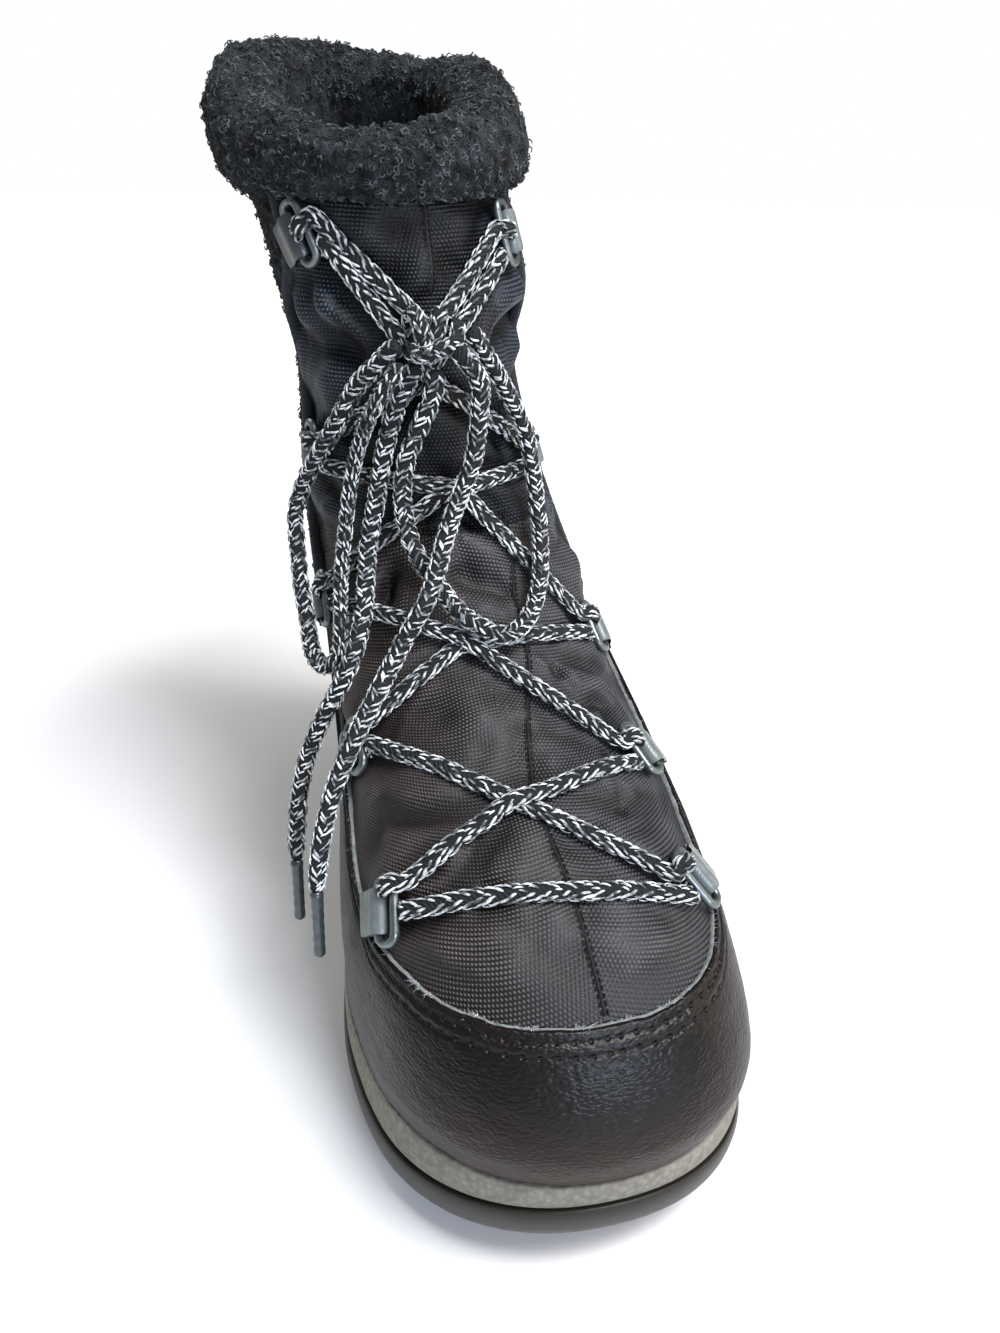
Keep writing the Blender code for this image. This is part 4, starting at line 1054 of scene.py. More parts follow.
# Where the edge has frayed most, at the toe and below the first rings, in degrees.
FRAYED = (-50, -46, -35, -33, -21, -12, -3, 2, 10, 36, 41, 44)
FRAYS_EACH = 20
TUFTS_TRIED = 520

# Coated leather: nearly black with brown showing in clouds where the coat is thin, and a
# painted brown reflection that grows towards the bottom of the rand. Half glossy, with
# stretched wrinkles along the boot and a fine pore, and needle holes in two rows.
leather, leather_tree, leather_shader = new_finish("coated rand leather", {
    "Specular IOR Level": 0.24})
leather_map = add(leather_tree, "ShaderNodeUVMap")
leather_uv = add(leather_tree, "ShaderNodeSeparateXYZ", inputs={0: leather_map.outputs[0]})
leather_long = add(leather_tree, "ShaderNodeMapping", inputs={
    "Vector": leather_map.outputs[0], "Scale": (0.38, 0.72, 1.0)})
wrinkle = add(leather_tree, "ShaderNodeTexNoise", {"noise_type": "RIDGED_MULTIFRACTAL"}, {
    "Vector": leather_long.outputs[0], "Scale": 1.0, "Detail": 3.0, "Roughness": 0.5,
    "Distortion": 0.5})
pore = add(leather_tree, "ShaderNodeTexVoronoi", {"feature": "SMOOTH_F1"}, {
    "Vector": leather_long.outputs[0], "Scale": 1.9, "Smoothness": 0.4})
leather_cloud = add(leather_tree, "ShaderNodeTexNoise", inputs={
    "Vector": leather_map.outputs[0], "Scale": 0.035, "Detail": 5.0})
leather_worn = add(leather_tree, "ShaderNodeTexNoise", inputs={
    "Vector": leather_long.outputs[0], "Scale": 0.55, "Detail": 8.0, "Roughness": 0.7})
hole_along = add(leather_tree, "ShaderNodeMath", {"operation": "DIVIDE"}, {
    0: leather_uv.outputs[0], 1: STITCH_PITCH})
hole_part = add(leather_tree, "ShaderNodeMath", {"operation": "FRACT"}, {
    0: hole_along.outputs[0]})
hole_side = add(leather_tree, "ShaderNodeMath", {"operation": "MULTIPLY_ADD"}, {
    0: hole_part.outputs[0], 1: STITCH_PITCH, 2: -STITCH_PITCH / 2})
hole_masks = []
for row in STITCH_ROWS:
    across = add(leather_tree, "ShaderNodeMath", {"operation": "SUBTRACT"}, {
        0: leather_uv.outputs[1], 1: row})
    both = add(leather_tree, "ShaderNodeCombineXYZ", inputs={
        0: hole_side.outputs[0], 1: across.outputs[0]})
    away = add(leather_tree, "ShaderNodeVectorMath", {"operation": "LENGTH"}, {
        0: both.outputs[0]})
    hole_masks.append(add(leather_tree, "ShaderNodeMapRange", inputs={
        "Value": away.outputs[1], "From Min": 0.35, "From Max": 0.8, "To Min": 1.0,
        "To Max": 0.0}))
holes = add(leather_tree, "ShaderNodeMath", {"operation": "MAXIMUM"}, {
    0: hole_masks[0].outputs[0], 1: hole_masks[1].outputs[0]})
leather_place = add(leather_tree, "ShaderNodeTexCoord")
leather_height = add(leather_tree, "ShaderNodeSeparateXYZ", inputs={
    0: leather_place.outputs["Object"]})
# Painted reflection: the rand turns browner towards its bottom; the same height mask makes
# scuffs a little likelier low down.
low_reflection_and_scuff = add(leather_tree, "ShaderNodeMapRange", inputs={
    "Value": leather_height.outputs[2], "From Min": 0.06, "From Max": 0.036, "To Max": 0.7})
brown_coat_and_reflection = add(leather_tree, "ShaderNodeMath", {"operation": "MULTIPLY_ADD"}, {
    0: leather_cloud.outputs[0], 1: 0.55, 2: low_reflection_and_scuff.outputs[0]})
brown_coat_and_reflection_share = add(leather_tree, "ShaderNodeMath",
                   {"operation": "SUBTRACT", "use_clamp": True}, {
                       0: brown_coat_and_reflection.outputs[0], 1: 0.12})
leather_base = add(leather_tree, "ShaderNodeMix", {"data_type": "RGBA"}, {
    0: brown_coat_and_reflection_share.outputs[0], 6: linear("#050607"), 7: linear("#251911")})
scuff_low = add(leather_tree, "ShaderNodeMath", {"operation": "MULTIPLY_ADD"}, {
    0: low_reflection_and_scuff.outputs[0], 1: 0.16, 2: leather_worn.outputs[0]})
worn_part = add(leather_tree, "ShaderNodeMapRange", inputs={
    "Value": scuff_low.outputs[0], "From Min": 0.68, "From Max": 0.95})
leather_scuffed = add(leather_tree, "ShaderNodeMix", {"data_type": "RGBA"}, {
    0: worn_part.outputs[0], 6: leather_base.outputs[2], 7: linear("#57503f")})
leather_tint = add(leather_tree, "ShaderNodeMix", {"data_type": "RGBA"}, {
    0: holes.outputs[0], 6: leather_scuffed.outputs[2], 7: linear("#060606")})
leather_dull = add(leather_tree, "ShaderNodeMapRange", inputs={
    "Value": leather_worn.outputs[0], "To Min": 0.34, "To Max": 0.43})
leather_high = add(leather_tree, "ShaderNodeMath", {"operation": "MULTIPLY_ADD"}, {
    0: pore.outputs[0], 1: -0.9, 2: wrinkle.outputs[0]})
leather_pit = add(leather_tree, "ShaderNodeMath", {"operation": "MULTIPLY_ADD"}, {
    0: holes.outputs[0], 1: -1.6, 2: leather_high.outputs[0]})
leather_bump = add(leather_tree, "ShaderNodeBump", inputs={
    "Height": leather_pit.outputs[0], "Strength": 0.5, "Distance": 0.0004})
drive(leather_tree, leather_shader, {
    "Base Color": leather_tint.outputs[2], "Roughness": leather_dull.outputs[0],
    "Normal": leather_bump.outputs[0]})

rand_angles = np.linspace(0, 360, RAND_COLUMNS, endpoint=False)
search = np.arange(60.0, 140.0, 0.5)
probe = skin(search[:, None], rand_angles, RAND_OUT)
over = probe[..., 2] - leather_top(probe)
above = np.argmax(over > 0, axis=0)
high, low = (over[above - below, np.arange(RAND_COLUMNS)] for below in (0, 1))
rand_levels = search[above - 1] - 0.5 * low / (high - low)
edge_place = skin(rand_levels, rand_angles)
rand_levels += 0.3 * cloud(edge_place, 7.0, 5.0) + 0.15 * cloud(edge_place, 2.2, 6.0)
below_edge = np.zeros((len(TOP_ROWS) + DOWN_ROWS, RAND_COLUMNS))
leather_levels = np.zeros_like(below_edge)
steps = np.linspace(0, 1, 90)
for k, angle in enumerate(rand_angles):
    climb = rand_levels[k] + (RAND_FOOT - rand_levels[k]) * steps
    down = arc(skin(climb, angle, RAND_OUT))
    rest = TOP_ROWS[-1] + (down[-1] - TOP_ROWS[-1]) * np.linspace(0, 1, DOWN_ROWS + 1)[1:]
    below_edge[:, k] = np.concatenate([TOP_ROWS, rest])
    leather_levels[:, k] = np.interp(below_edge[:, k], down, climb)
face_points = skin(leather_levels, rand_angles, RAND_OUT)
dimple = sum(np.exp(-((below_edge - row) / 0.6) ** 2) for row in STITCH_ROWS)
quilt = 0.25 * np.exp(-((below_edge - 4.75) / 0.9) ** 2)
roll = -1.1 * np.exp(-(below_edge / 0.35) ** 2)
tuck = -1.4 * np.exp(-((below_edge[-1:] - below_edge) / 1.6) ** 2)
swell = (0.35 * cloud(face_points * (1, 1, 1.6), 22.0, 7.0)
         + 0.16 * cloud(face_points * (1, 1, 2.4), 7.0, 8.0))
swell *= np.clip(below_edge / 9, 0, 1)
leather_points = skin(leather_levels, rand_angles,
                      RAND_OUT - 0.3 * dimple + quilt + roll + tuck + swell)
seam_row = leather_points[12]
rand_round = arc(np.concatenate([seam_row, seam_row[:1]]))
leather_flat = np.stack(np.broadcast_arrays(
    rand_round, np.concatenate([below_edge, below_edge[:, :1]], axis=1)), axis=-1)
rand = new_sheet("leather_rand", leather_points[::-1], leather, leather_flat[::-1], True)
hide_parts("rand")

# Raw edge: the leather's cut face, pale and fibrous, with loose white tufts in places.
raw_edge = clouded_finish("raw leather edge", {"Roughness": 0.9, "Sheen Weight": 0.3},
                          {"Scale": 650.0, "Detail": 6.0}, "#1f2122", "#9a9fa1",
                          relief=(0.9, 0.0006))
rim_rows = []
for rise, out in ((-0.35, 1.2), (0.1, 1.5), (0.35, 1.25), (0.4, 0.8), (0.3, 0.2)):
    fuzz = 0.32 * cloud(edge_place, 1.3, 9.0 + rise)
    climb = rise / np.maximum(0.45, np.linalg.norm(
        skin(rand_levels + 1, rand_angles) - edge_place, axis=1))
    rim_rows.append(skin(rand_levels + climb, rand_angles, out + fuzz))
rim = new_sheet("leather_raw_edge", np.array(rim_rows), raw_edge, None, True)

for k, row in enumerate(STITCH_ROWS):
    r = int(np.argmin(np.abs(TOP_ROWS - row)))
    line = np.concatenate([leather_points[r], leather_points[r, :1]])
    out = unit(line - skin(np.append(leather_levels[r], leather_levels[r, 0]),
                            np.append(rand_angles, 360.0), RAND_OUT - 3.0))
    sewn = stitches(f"rand_stitches_{k + 1}", line, out, thread, STITCH_PITCH,
                    STITCH_LONG, STITCH_THREAD, -0.02, 0.03)


def tufts(name, roots, out, finish, long, thick, spread):
    """Short loose fibres that stand off a surface and bend over."""
    share = np.linspace(0, 1, 5)
    drift = unit(chance.normal(0, 1, roots.shape)) * spread
    reach = long * chance.uniform(0.5, 1.2, (len(roots), 1, 1))
    lines = (roots[:, None] + reach * share[:, None] * out[:, None]
             + reach * (share ** 1.7)[:, None] * drift[:, None])
    body = (thick * (1.05 - share))[:, None, None] * ring_of(3, 1.0)
    hints = unit(drift + 0.2 * out + 0.01)[:, None]
    points, faces = tubes(lines, hints, body[None])
    return new_piece(name, points, faces, finish)


# Scrim: the white cotton backing of the leather, frayed out at the cut.
scrim = clouded_finish("white cotton scrim", {"Roughness": 0.9},
                       {"Scale": 500.0, "Detail": 3.0}, "#8b9092", "#f0f1f1")
picks = chance.integers(0, RAND_COLUMNS, TUFTS_TRIED)
clump = np.exp(-((cloud(edge_place, 5.0, 12.0)[picks] - 0.35) / 0.25) ** 2)
picks = picks[(clump > chance.uniform(0.1, 1, len(picks)))
              | (chance.uniform(0, 1, TUFTS_TRIED) > 0.75)]
near, out = skin_and_out(rand_levels[picks] + chance.normal(0, 0.15, len(picks)),
                         rand_angles[picks] + chance.normal(0, 0.3, len(picks)), 0.9)
white_tufts = tufts("raw_edge_tufts", near, out, scrim, 1.5, 0.09, 0.8)
at = np.repeat(FRAYED, FRAYS_EACH) + chance.normal(0, 1.0, FRAYS_EACH * len(FRAYED))
near, out = skin_and_out(np.interp(np.mod(at, 360), rand_angles, rand_levels)
                         + chance.normal(0.1, 0.3, len(at)), at, 0.9)
frayed_tufts = tufts("raw_edge_frays", near, out, scrim, 1.0, 0.13, 1.4)


# ---- Felt edges ---------------------------------------------------------------------
# A narrow folded felt binding runs up the front edge of each quarter, from the third ring
# to the collar, and is stitched down along its back.

FELT_SIDES = 14
FELT_HALF = (2.3, 1.9)
FELT_HAIRS = 420
FELT_BACK, SEWN_BACK = 2.2, 4.4     # degrees behind the quarter's edge
FELT_LOW, FELT_HIGH = 121.0, 249.0
FELT_STITCH = (3.2, 2.6, 0.3)       # spacing, length and thickness of its stitches

# Felt: blue-grey matted wool, fuzzy all over and clouded paler and darker.
felt = clouded_finish("felt binding", {
    "Roughness": 0.95, "Sheen Weight": 0.08, "Specular IOR Level": 0.3},
    {"Scale": 850.0, "Detail": 6.0, "Distortion": 0.8}, "#0a0c0e", "#30363b",
    relief=(0.9, 0.0008))
section = ring_of(FELT_SIDES, *FELT_HALF)

for side, name in ((1, "lateral"), (-1, "medial")):
    climb = np.arange(FELT_LOW, FELT_HIGH, 0.7)
    edge = edge_angle(climb, side)
    line, out = skin_and_out(climb, edge + side * FELT_BACK, 1.6)
    line += 0.35 * cloud(line, 16.0, 20.0 + side)[:, None] * out
    fuzz = 1 + 0.07 * cloud(line[:, None] + np.pad(section, ((0, 0), (0, 1))), 1.4, 21.0)
    taper = np.clip(np.minimum(np.arange(len(line)), 6) / 6, 0.2, 1)
    points, faces = tubes(line[None], out[None],
                          (fuzz * taper[:, None])[None, ..., None] * section)
    binding = new_piece(f"felt_edge_{name}", points, faces, felt)
    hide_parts(f"facing_{name}")
    seam = skin_and_out(climb[8:], edge[8:] + side * SEWN_BACK, 2.6)
    sewn = stitches(f"felt_stitches_{name}", *spaced_with(*seam, 1.0), thread,
                    *FELT_STITCH)
    picks = chance.integers(0, len(line), FELT_HAIRS)
    swing = chance.uniform(-0.3, np.pi + 0.3, FELT_HAIRS)[:, None]
    ahead = unit(np.gradient(line, axis=0))[picks]
    across = unit(np.cross(ahead, out[picks]))
    away = unit(np.cos(swing) * across + np.sin(swing) * out[picks])
    roots = line[picks] + 2.2 * np.cos(swing) * across + 1.8 * np.sin(swing) * out[picks]
    hairs = tufts(f"felt_hairs_{name}", roots, away, felt, 0.9, 0.05, 1.0)


# ---- Sherpa quarters ----------------------------------------------------------------
# Behind the felt edge the shaft is covered in curly sherpa fabric, right round the back and
# down into the leather. Nubs of dark pile, with single curls standing off them.

# Sherpa pile: blue-black wool-like polyester, greyer in fine clouds of fibre, with a soft
# bloom at grazing angles.
pile, pile_tree, pile_shader = new_finish("sherpa pile", {
    "Roughness": 0.95, "Sheen Weight": 0.06, "Sheen Roughness": 0.4,
    "Specular IOR Level": 0.2})
pile_place = add(pile_tree, "ShaderNodeTexCoord")
pile_fibre = add(pile_tree, "ShaderNodeTexNoise", inputs={
    "Vector": pile_place.outputs["Object"], "Scale": 900.0, "Detail": 4.0,
    "Distortion": 1.5})
pile_cloud = add(pile_tree, "ShaderNodeTexNoise", inputs={
    "Vector": pile_place.outputs["Object"], "Scale": 130.0, "Detail": 3.0})
pile_mix = add(pile_tree, "ShaderNodeMath", {"operation": "MULTIPLY"}, {
    0: pile_fibre.outputs[0], 1: pile_cloud.outputs[0]})
pile_part = add(pile_tree, "ShaderNodeMapRange", inputs={
    "Value": pile_mix.outputs[0], "From Min": 0.2, "From Max": 0.42})
pile_tint = add(pile_tree, "ShaderNodeMix", {"data_type": "RGBA"}, {
    0: pile_part.outputs[0], 6: linear("#020203"), 7: linear("#363c41")})
pile_bump = add(pile_tree, "ShaderNodeBump", inputs={
    "Height": pile_mix.outputs[0], "Strength": 1.0, "Distance": 0.003})
drive(pile_tree, pile_shader, {"Base Color": pile_tint.outputs[2],
                               "Normal": pile_bump.outputs[0]})

# Single curls: the same wool, painted lighter in clouds as a painted highlight on the
# curls.
highlighted_curl_wool = clouded_finish("sherpa curl", {"Roughness": 0.75, "Specular IOR Level": 0.35},
                           {"Scale": 260.0, "Detail": 2.0}, "#090b0c", "#555d62",
                           over=(0.35, 0.7))


def lumps(points, size, seed=0.0):
    """Rounded bumps packed side by side: 1 at the middle of each, 0 where they meet."""
    shift = Vector((seed * 3.7, seed * 11.9, seed * 6.3))
    flat = np.asarray(points, float).reshape(-1, 3) / size
    read = np.array([noise.voronoi(Vector(p) + shift)[0][:2] for p in flat])
    rise = np.clip((read[:, 1] - read[:, 0]) * 1.6, 0, 1)
    return np.sqrt(rise).reshape(np.shape(points)[:-1])


def curls(name, roots, out, size, thick):
    """Little hooked curls of wool: each turns most of a circle as it rises and drops."""
    count = len(roots)
    side = unit(np.cross(out, unit(chance.normal(0, 1, out.shape))))
    other = np.cross(out, side)
    share = np.linspace(0, 1, 6)
    first = chance.uniform(0, 2 * np.pi, (count, 1))
    turn = first + chance.choice([-1, 1], (count, 1)) * share * chance.uniform(
        2.6, 5.6, (count, 1))
    reach = size * chance.uniform(0.45, 1.0, (count, 1))
    rise = size * chance.uniform(0.35, 0.7, (count, 1)) * np.sin(np.pi * 0.9 * share) ** 0.8
    lines = (roots[:, None] + (rise - 0.2)[..., None] * out[:, None]
             + ((np.cos(turn) - np.cos(first)) * reach)[..., None] * side[:, None]
             + ((np.sin(turn) - np.sin(first)) * reach)[..., None] * other[:, None])
    body = (thick * np.sqrt(1.08 - share ** 2))[:, None, None] * ring_of(3, 1.0)
    hints = unit(out + 0.31 * side)[:, None]
    points, faces = tubes(lines, hints, body[None])
    return new_piece(name, points, faces, highlighted_curl_wool)


def outward_of(points, closed=False):
    """Outward direction at each point of a sheet. A closed one meets its first column."""
    along = (np.roll(points, -1, axis=1) - np.roll(points, 1, axis=1) if closed
             else np.gradient(points, axis=1))
    return unit(np.cross(along, np.gradient(points, axis=0)))


def curl_spots(points, nubs, bare_rows, columns, tried, least, most):
    """Chance places for curls, on the nubs only: rows and columns of the sheet."""
    rows_at = chance.integers(1, len(points) - bare_rows, tried)
    columns_at = chance.integers(*columns, tried)
    kept = nubs[rows_at, columns_at] > least
    return rows_at[kept][:most], columns_at[kept][:most]


CURL_SIZE, QUARTER_CURL = 0.95, 0.27    # how wide a curl turns, and its yarn's half width
PILE_COLUMNS = 236
PILE_OVERLAP = 4.5      # degrees that it runs in under the felt
pile_levels = np.arange(96.0, 251.0, 1.3)
share = np.linspace(0, 1, PILE_COLUMNS)
start = side_reach(pile_levels, 1, PILE_OVERLAP)
stop = 360 + side_reach(pile_levels, -1, PILE_OVERLAP)
pile_angles = start[:, None] + (stop - start)[:, None] * share
pile_base = skin(pile_levels[:, None], pile_angles)
clear = np.clip((pile_base[..., 2] - leather_top(pile_base) + 1.0) / 4.0, 0, 1)
clear *= np.clip(np.minimum(share, 1 - share) * 60, 0, 1)
nubs = lumps(pile_base, 4.6, 1.0)
pile_out = 0.3 + clear * (0.5 + 1.9 * nubs + 0.7 * cloud(pile_base, 14.0, 13.0)
                          + 0.35 * cloud(pile_base, 1.7, 14.0))
pile_points = skin(pile_levels[:, None], pile_angles, pile_out)
sherpa = new_sheet("sherpa_quarters", pile_points, pile, laid_flat(pile_points))
spots = curl_spots(pile_points, np.where(clear > 0.5, nubs, 0), 1, (1, PILE_COLUMNS - 1),
                   15000, 0.35, 2600)
quarter_curls = curls("sherpa_quarter_curls", pile_points[spots],
                      outward_of(pile_points)[spots], CURL_SIZE, QUARTER_CURL)


# ---- Fleece collar ------------------------------------------------------------------
# The lining is turned down over the rim as a thick roll of black fleece. Its nubs are 3 to
# 4 mm across, and its lower edge hangs unevenly over the felt and the tongue.

# Section of the roll, from its lower outer edge over the top and down inside.
#     level     out
CUFF = (
    (249.0,    0.6),
    (246.6,    3.6),
    (247.6,    7.2),
    (252.0,    9.4),
    (258.0,   10.2),
    (264.5,    9.4),
    (269.5,    6.6),
    (271.9,    2.2),
    (272.0,   -3.0),
    (270.4,   -8.6),
    (265.0,  -12.4),
    (256.0,  -12.8),
    (249.0,  -11.4),
    (245.0,   -8.0),
)
DIP_LOW, DIP_WIDE = 8.5, 52     # how far the front is worn down, and over what angle
HEAVE = 4.6             # how far the roll rises and falls as it goes round
COLLAR_CURL = 0.26
cuff_section = catmull_rom(CUFF, 6)
cuff_angles = np.linspace(0, 360, 320, endpoint=False)
# Worn lower and thinner at the front, where the foot goes in.
dip = np.exp(-((np.mod(cuff_angles + 180, 360) - 180 + 6) / DIP_WIDE) ** 2)
cuff_base = np.array([
    skin(level - DIP_LOW * dip * np.clip((level - 249) / 20, 0, 1), cuff_angles,
         out * (1 - 0.3 * dip * (out < 0))) for level, out in cuff_section])
sag = np.exp(-(np.linspace(0, 1, len(cuff_base)) / 0.22) ** 2)[:, None]
in_plan = cuff_base[3] * (1, 1, 0)
droop = sag * (1.6 * cloud(in_plan, 24.0, 30.0) + 0.9 * cloud(in_plan, 9.0, 31.0))
heave = np.clip((cuff_section[:, :1] - 250) / 18, 0, 1)
cuff_base[..., 2] += droop + HEAVE * heave * cloud(in_plan, 42.0, 34.0)
cuff_out = outward_of(cuff_base, True)
cuff_nubs = lumps(cuff_base, 3.9, 2.0)
inward = np.clip((np.linspace(0, 1, len(cuff_base)) - 0.62) * 8, 0, 1)[:, None]
swell = (-0.9 + 1.9 * cuff_nubs + 1.7 * cloud(cuff_base, 19.0, 32.0)
         + 0.45 * cloud(cuff_base, 2.2, 33.0))
cuff_points = cuff_base + ((1 - 0.45 * inward) * swell)[..., None] * cuff_out
collar = new_sheet("fleece_collar", cuff_points, pile, None, True)
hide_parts("collar")
spots = curl_spots(cuff_points, cuff_nubs, 14, (0, len(cuff_angles)), 16000, 0.3, 3600)
collar_curls = curls("fleece_collar_curls", cuff_points[spots],
                     outward_of(cuff_points, True)[spots], CURL_SIZE, COLLAR_CURL)


# ---- Lining -------------------------------------------------------------------------
# The inside of the shell: short fleece, browner and flatter than the collar where the foot
# has rubbed it, from the footbed up to the roll.

# Trodden fleece: matt grey-brown, the pile felted into soft grains.
lining = clouded_finish("trodden fleece lining", {
    "Roughness": 0.98, "Specular IOR Level": 0.2}, {"Scale": 330.0, "Detail": 5.0},
    "#171616", "#4a4541", relief=(0.9, 0.0015))
inner_levels = np.arange(36.0, 262.0, 2.6)
inner_angles = np.linspace(0, 360, 130, endpoint=False)
inner_base = skin(inner_levels[:, None], inner_angles, -6.2)
inner_points = skin(inner_levels[:, None], inner_angles,
                    -6.4 - 0.9 * lumps(inner_base, 6.0, 3.0))
inside = new_sheet("fleece_lining", inner_points[:, ::-1], lining, None, True)


# ---- Rings and tabs -----------------------------------------------------------------
# Ten wire rings, each on a sewn bar held by a folded strap. The rings are satin steel, a
# little dull from use, and the straps are coated webbing with a soft plastic shine.

# Where each ring is sewn on the outer and the inner side, from the lowest one up. Lean is
# how far the ring is turned forward, in degrees.
#     level    angle    lean
RINGS_OUTER = (
    (83.5,   33.5,   25.0),
    (97.5,   44.0,   15.0),
    (117.0,  51.0,    0.0),
    (172.0,  53.0,    0.0),
    (236.5,  46.0,    0.0),
)
RINGS_INNER = (
    (79.0,  -44.0,    0.0),
    (98.0,  -55.0,    0.0),
    (127.0, -59.0,    0.0),
    (174.0, -58.0,    0.0),
    (236.6, -43.2,  -12.0),
)
WIRE = 1.3              # half the thickness of the wire
WIRE_HIGH = 3.4         # its height over the boot
WIRE_SIDES = 14
RING_LONG = 17.0
RING_DEEP = 6.5
RING_CORNER = 2.6
TAB_LONG = 12.0


class Seat:
    """Where a lace ring is sewn: a point on the boot and three directions."""

    def __init__(self, number, side):
        level, angle, lean = (RINGS_OUTER if side > 0 else RINGS_INNER)[number - 1]
        self.point = skin(level, angle)
        self.out = skin(level, angle, 1.0) - self.point
        upward = skin(level + 3.0, angle) - skin(level - 3.0, angle)
        upward -= self.out * float(upward @ self.out)
        upward /= np.linalg.norm(upward)
        forward = side * np.cross(self.out, upward)
        tilt = math.radians(lean)
        self.up = math.cos(tilt) * upward + math.sin(tilt) * forward
        self.forward = math.cos(tilt) * forward - math.sin(tilt) * upward

    def at(self, up, forward, out):
        return self.point + up * self.up + forward * self.forward + out * self.out


# Drawn steel: the satin comes from fine scratches round the wire, and the clouded
# roughness keeps the rods from looking new.
steel = clouded_finish("satin ring steel", {"Metallic": 0.9},
                       {"Scale": 420.0, "Detail": 4.0}, "#5a6162", "#868e8f",
                       relief=(0.25, 0.0001), dull=(0.25, 0.5))

# Coated webbing: pale blue grey, smooth, with the weave just showing through the coat and
# grime in clouds.
strap, strap_tree, strap_shader = new_finish("coated strap", {
    "Roughness": 0.36, "Coat Weight": 0.25, "Coat Roughness": 0.3})
strap_map = add(strap_tree, "ShaderNodeUVMap")
strap_weave = add(strap_tree, "ShaderNodeTexWave", {"bands_direction": "DIAGONAL"}, {
    "Vector": strap_map.outputs[0], "Scale": 0.55, "Distortion": 1.5, "Detail": 2.0})
strap_soil = add(strap_tree, "ShaderNodeTexNoise", inputs={
    "Vector": strap_map.outputs[0], "Scale": 0.35, "Detail": 5.0})
strap_tint = add(strap_tree, "ShaderNodeMix", {"data_type": "RGBA"}, {
    0: strap_soil.outputs[0], 6: linear("#454d4e"), 7: linear("#717b7b")})
strap_bump = add(strap_tree, "ShaderNodeBump", inputs={
    "Height": strap_weave.outputs[1], "Strength": 0.3, "Distance": 0.0001})
drive(strap_tree, strap_shader, {"Base Color": strap_tint.outputs[2],
                                 "Normal": strap_bump.outputs[0]})
dark_strap = strap.copy()
dark_strap.name = "dark coated strap"
dark_mix = next(n for n in dark_strap.node_tree.nodes if n.bl_idname == "ShaderNodeMix")
dark_mix.inputs[6].default_value = linear("#1c2023")
dark_mix.inputs[7].default_value = linear("#3c4246")

# Section of a tab's strap, as forward and out: the tail, round the bar and back.
STRAP_LINE = (
    (-8.5, 1.0), (-6.0, 1.5), (-3.6, 1.6), (-1.4, 1.3), (0.6, 1.3), (1.9, 2.0), (2.5, 3.4),
    (1.9, 4.8), (0.5, 5.5), (-1.4, 5.1), (-3.4, 3.9), (-5.4, 3.1), (-8.0, 2.5),
)
STRAP_THICK = 0.75


def rounded_ring(steps):
    """Middle line of the wire, as pairs of up and forward."""
    path = []
    reach = RING_LONG / 2 - RING_CORNER
    corners = ((reach, RING_DEEP - RING_CORNER, 0), (-reach, RING_DEEP - RING_CORNER, 90),
               (-reach, RING_CORNER, 180), (reach, RING_CORNER, 270))
    for up, forward, start in corners:
        for turned in np.radians(start + np.linspace(0, 90, steps)):
            path.append((up + RING_CORNER * math.cos(turned),
                         forward + RING_CORNER * math.sin(turned)))
    return path


round_wire = ring_of(WIRE_SIDES, WIRE)
fold = catmull_rom(STRAP_LINE, 4)
slope = unit(np.gradient(fold, axis=0))
proud = STRAP_THICK * np.stack([-slope[:, 1], slope[:, 0]], axis=-1)
middle = np.concatenate([fold, fold[::-1]])
loop_round = np.concatenate([fold + proud, (fold - proud)[::-1]])
ups = np.linspace(-1, 1, 11)
narrow = 1 - 0.5 * (1 - np.sqrt(1 - 0.97 * ups ** 12))
shape = middle + (loop_round - middle) * narrow[:, None, None]
strap_flat = np.stack(np.broadcast_arrays(
    np.concatenate([arc(loop_round), [2 * arc(fold)[-1]]])[None],
    (ups * TAB_LONG / 2)[:, None]), axis=-1)
for number in range(1, 6):
    for side, name in ((1, "lateral"), (-1, "medial")):
        seat = Seat(number, side)
        loop = np.array([seat.at(*spot, WIRE_HIGH) for spot in rounded_ring(9)])
        ahead = unit(np.roll(loop, -1, axis=0) - np.roll(loop, 1, axis=0))
        side_on = np.cross(ahead, seat.out)
        tube = (loop[:, None] + round_wire[None, :, :1] * side_on[:, None]
                + round_wire[None, :, 1:] * seat.out)
        tube = np.concatenate([tube, tube[:1]])
        ring = new_piece(f"ring_{number}_{name}", tube,
                         grid(len(tube), WIRE_SIDES, True)[:, ::-1], steel)
        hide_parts(f"lace_ring_{number}_{name}")
        points = np.array([[seat.at(u * TAB_LONG / 2, f, o) for f, o in row]
                           for u, row in zip(ups, shape)])
        tab = new_sheet(f"tab_{number}_{name}", points,
                        dark_strap if (number, side) == (5, -1) else strap,
                        strap_flat, True)
        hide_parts(f"ring_tab_{number}_{name}")


# ---- Lacing -------------------------------------------------------------------------
# A flat-round braided lace of about 5 mm, dark with doubled white yarns that show as short
# strokes. It runs under each ring's bar and back over it, and crosses on the tongue.

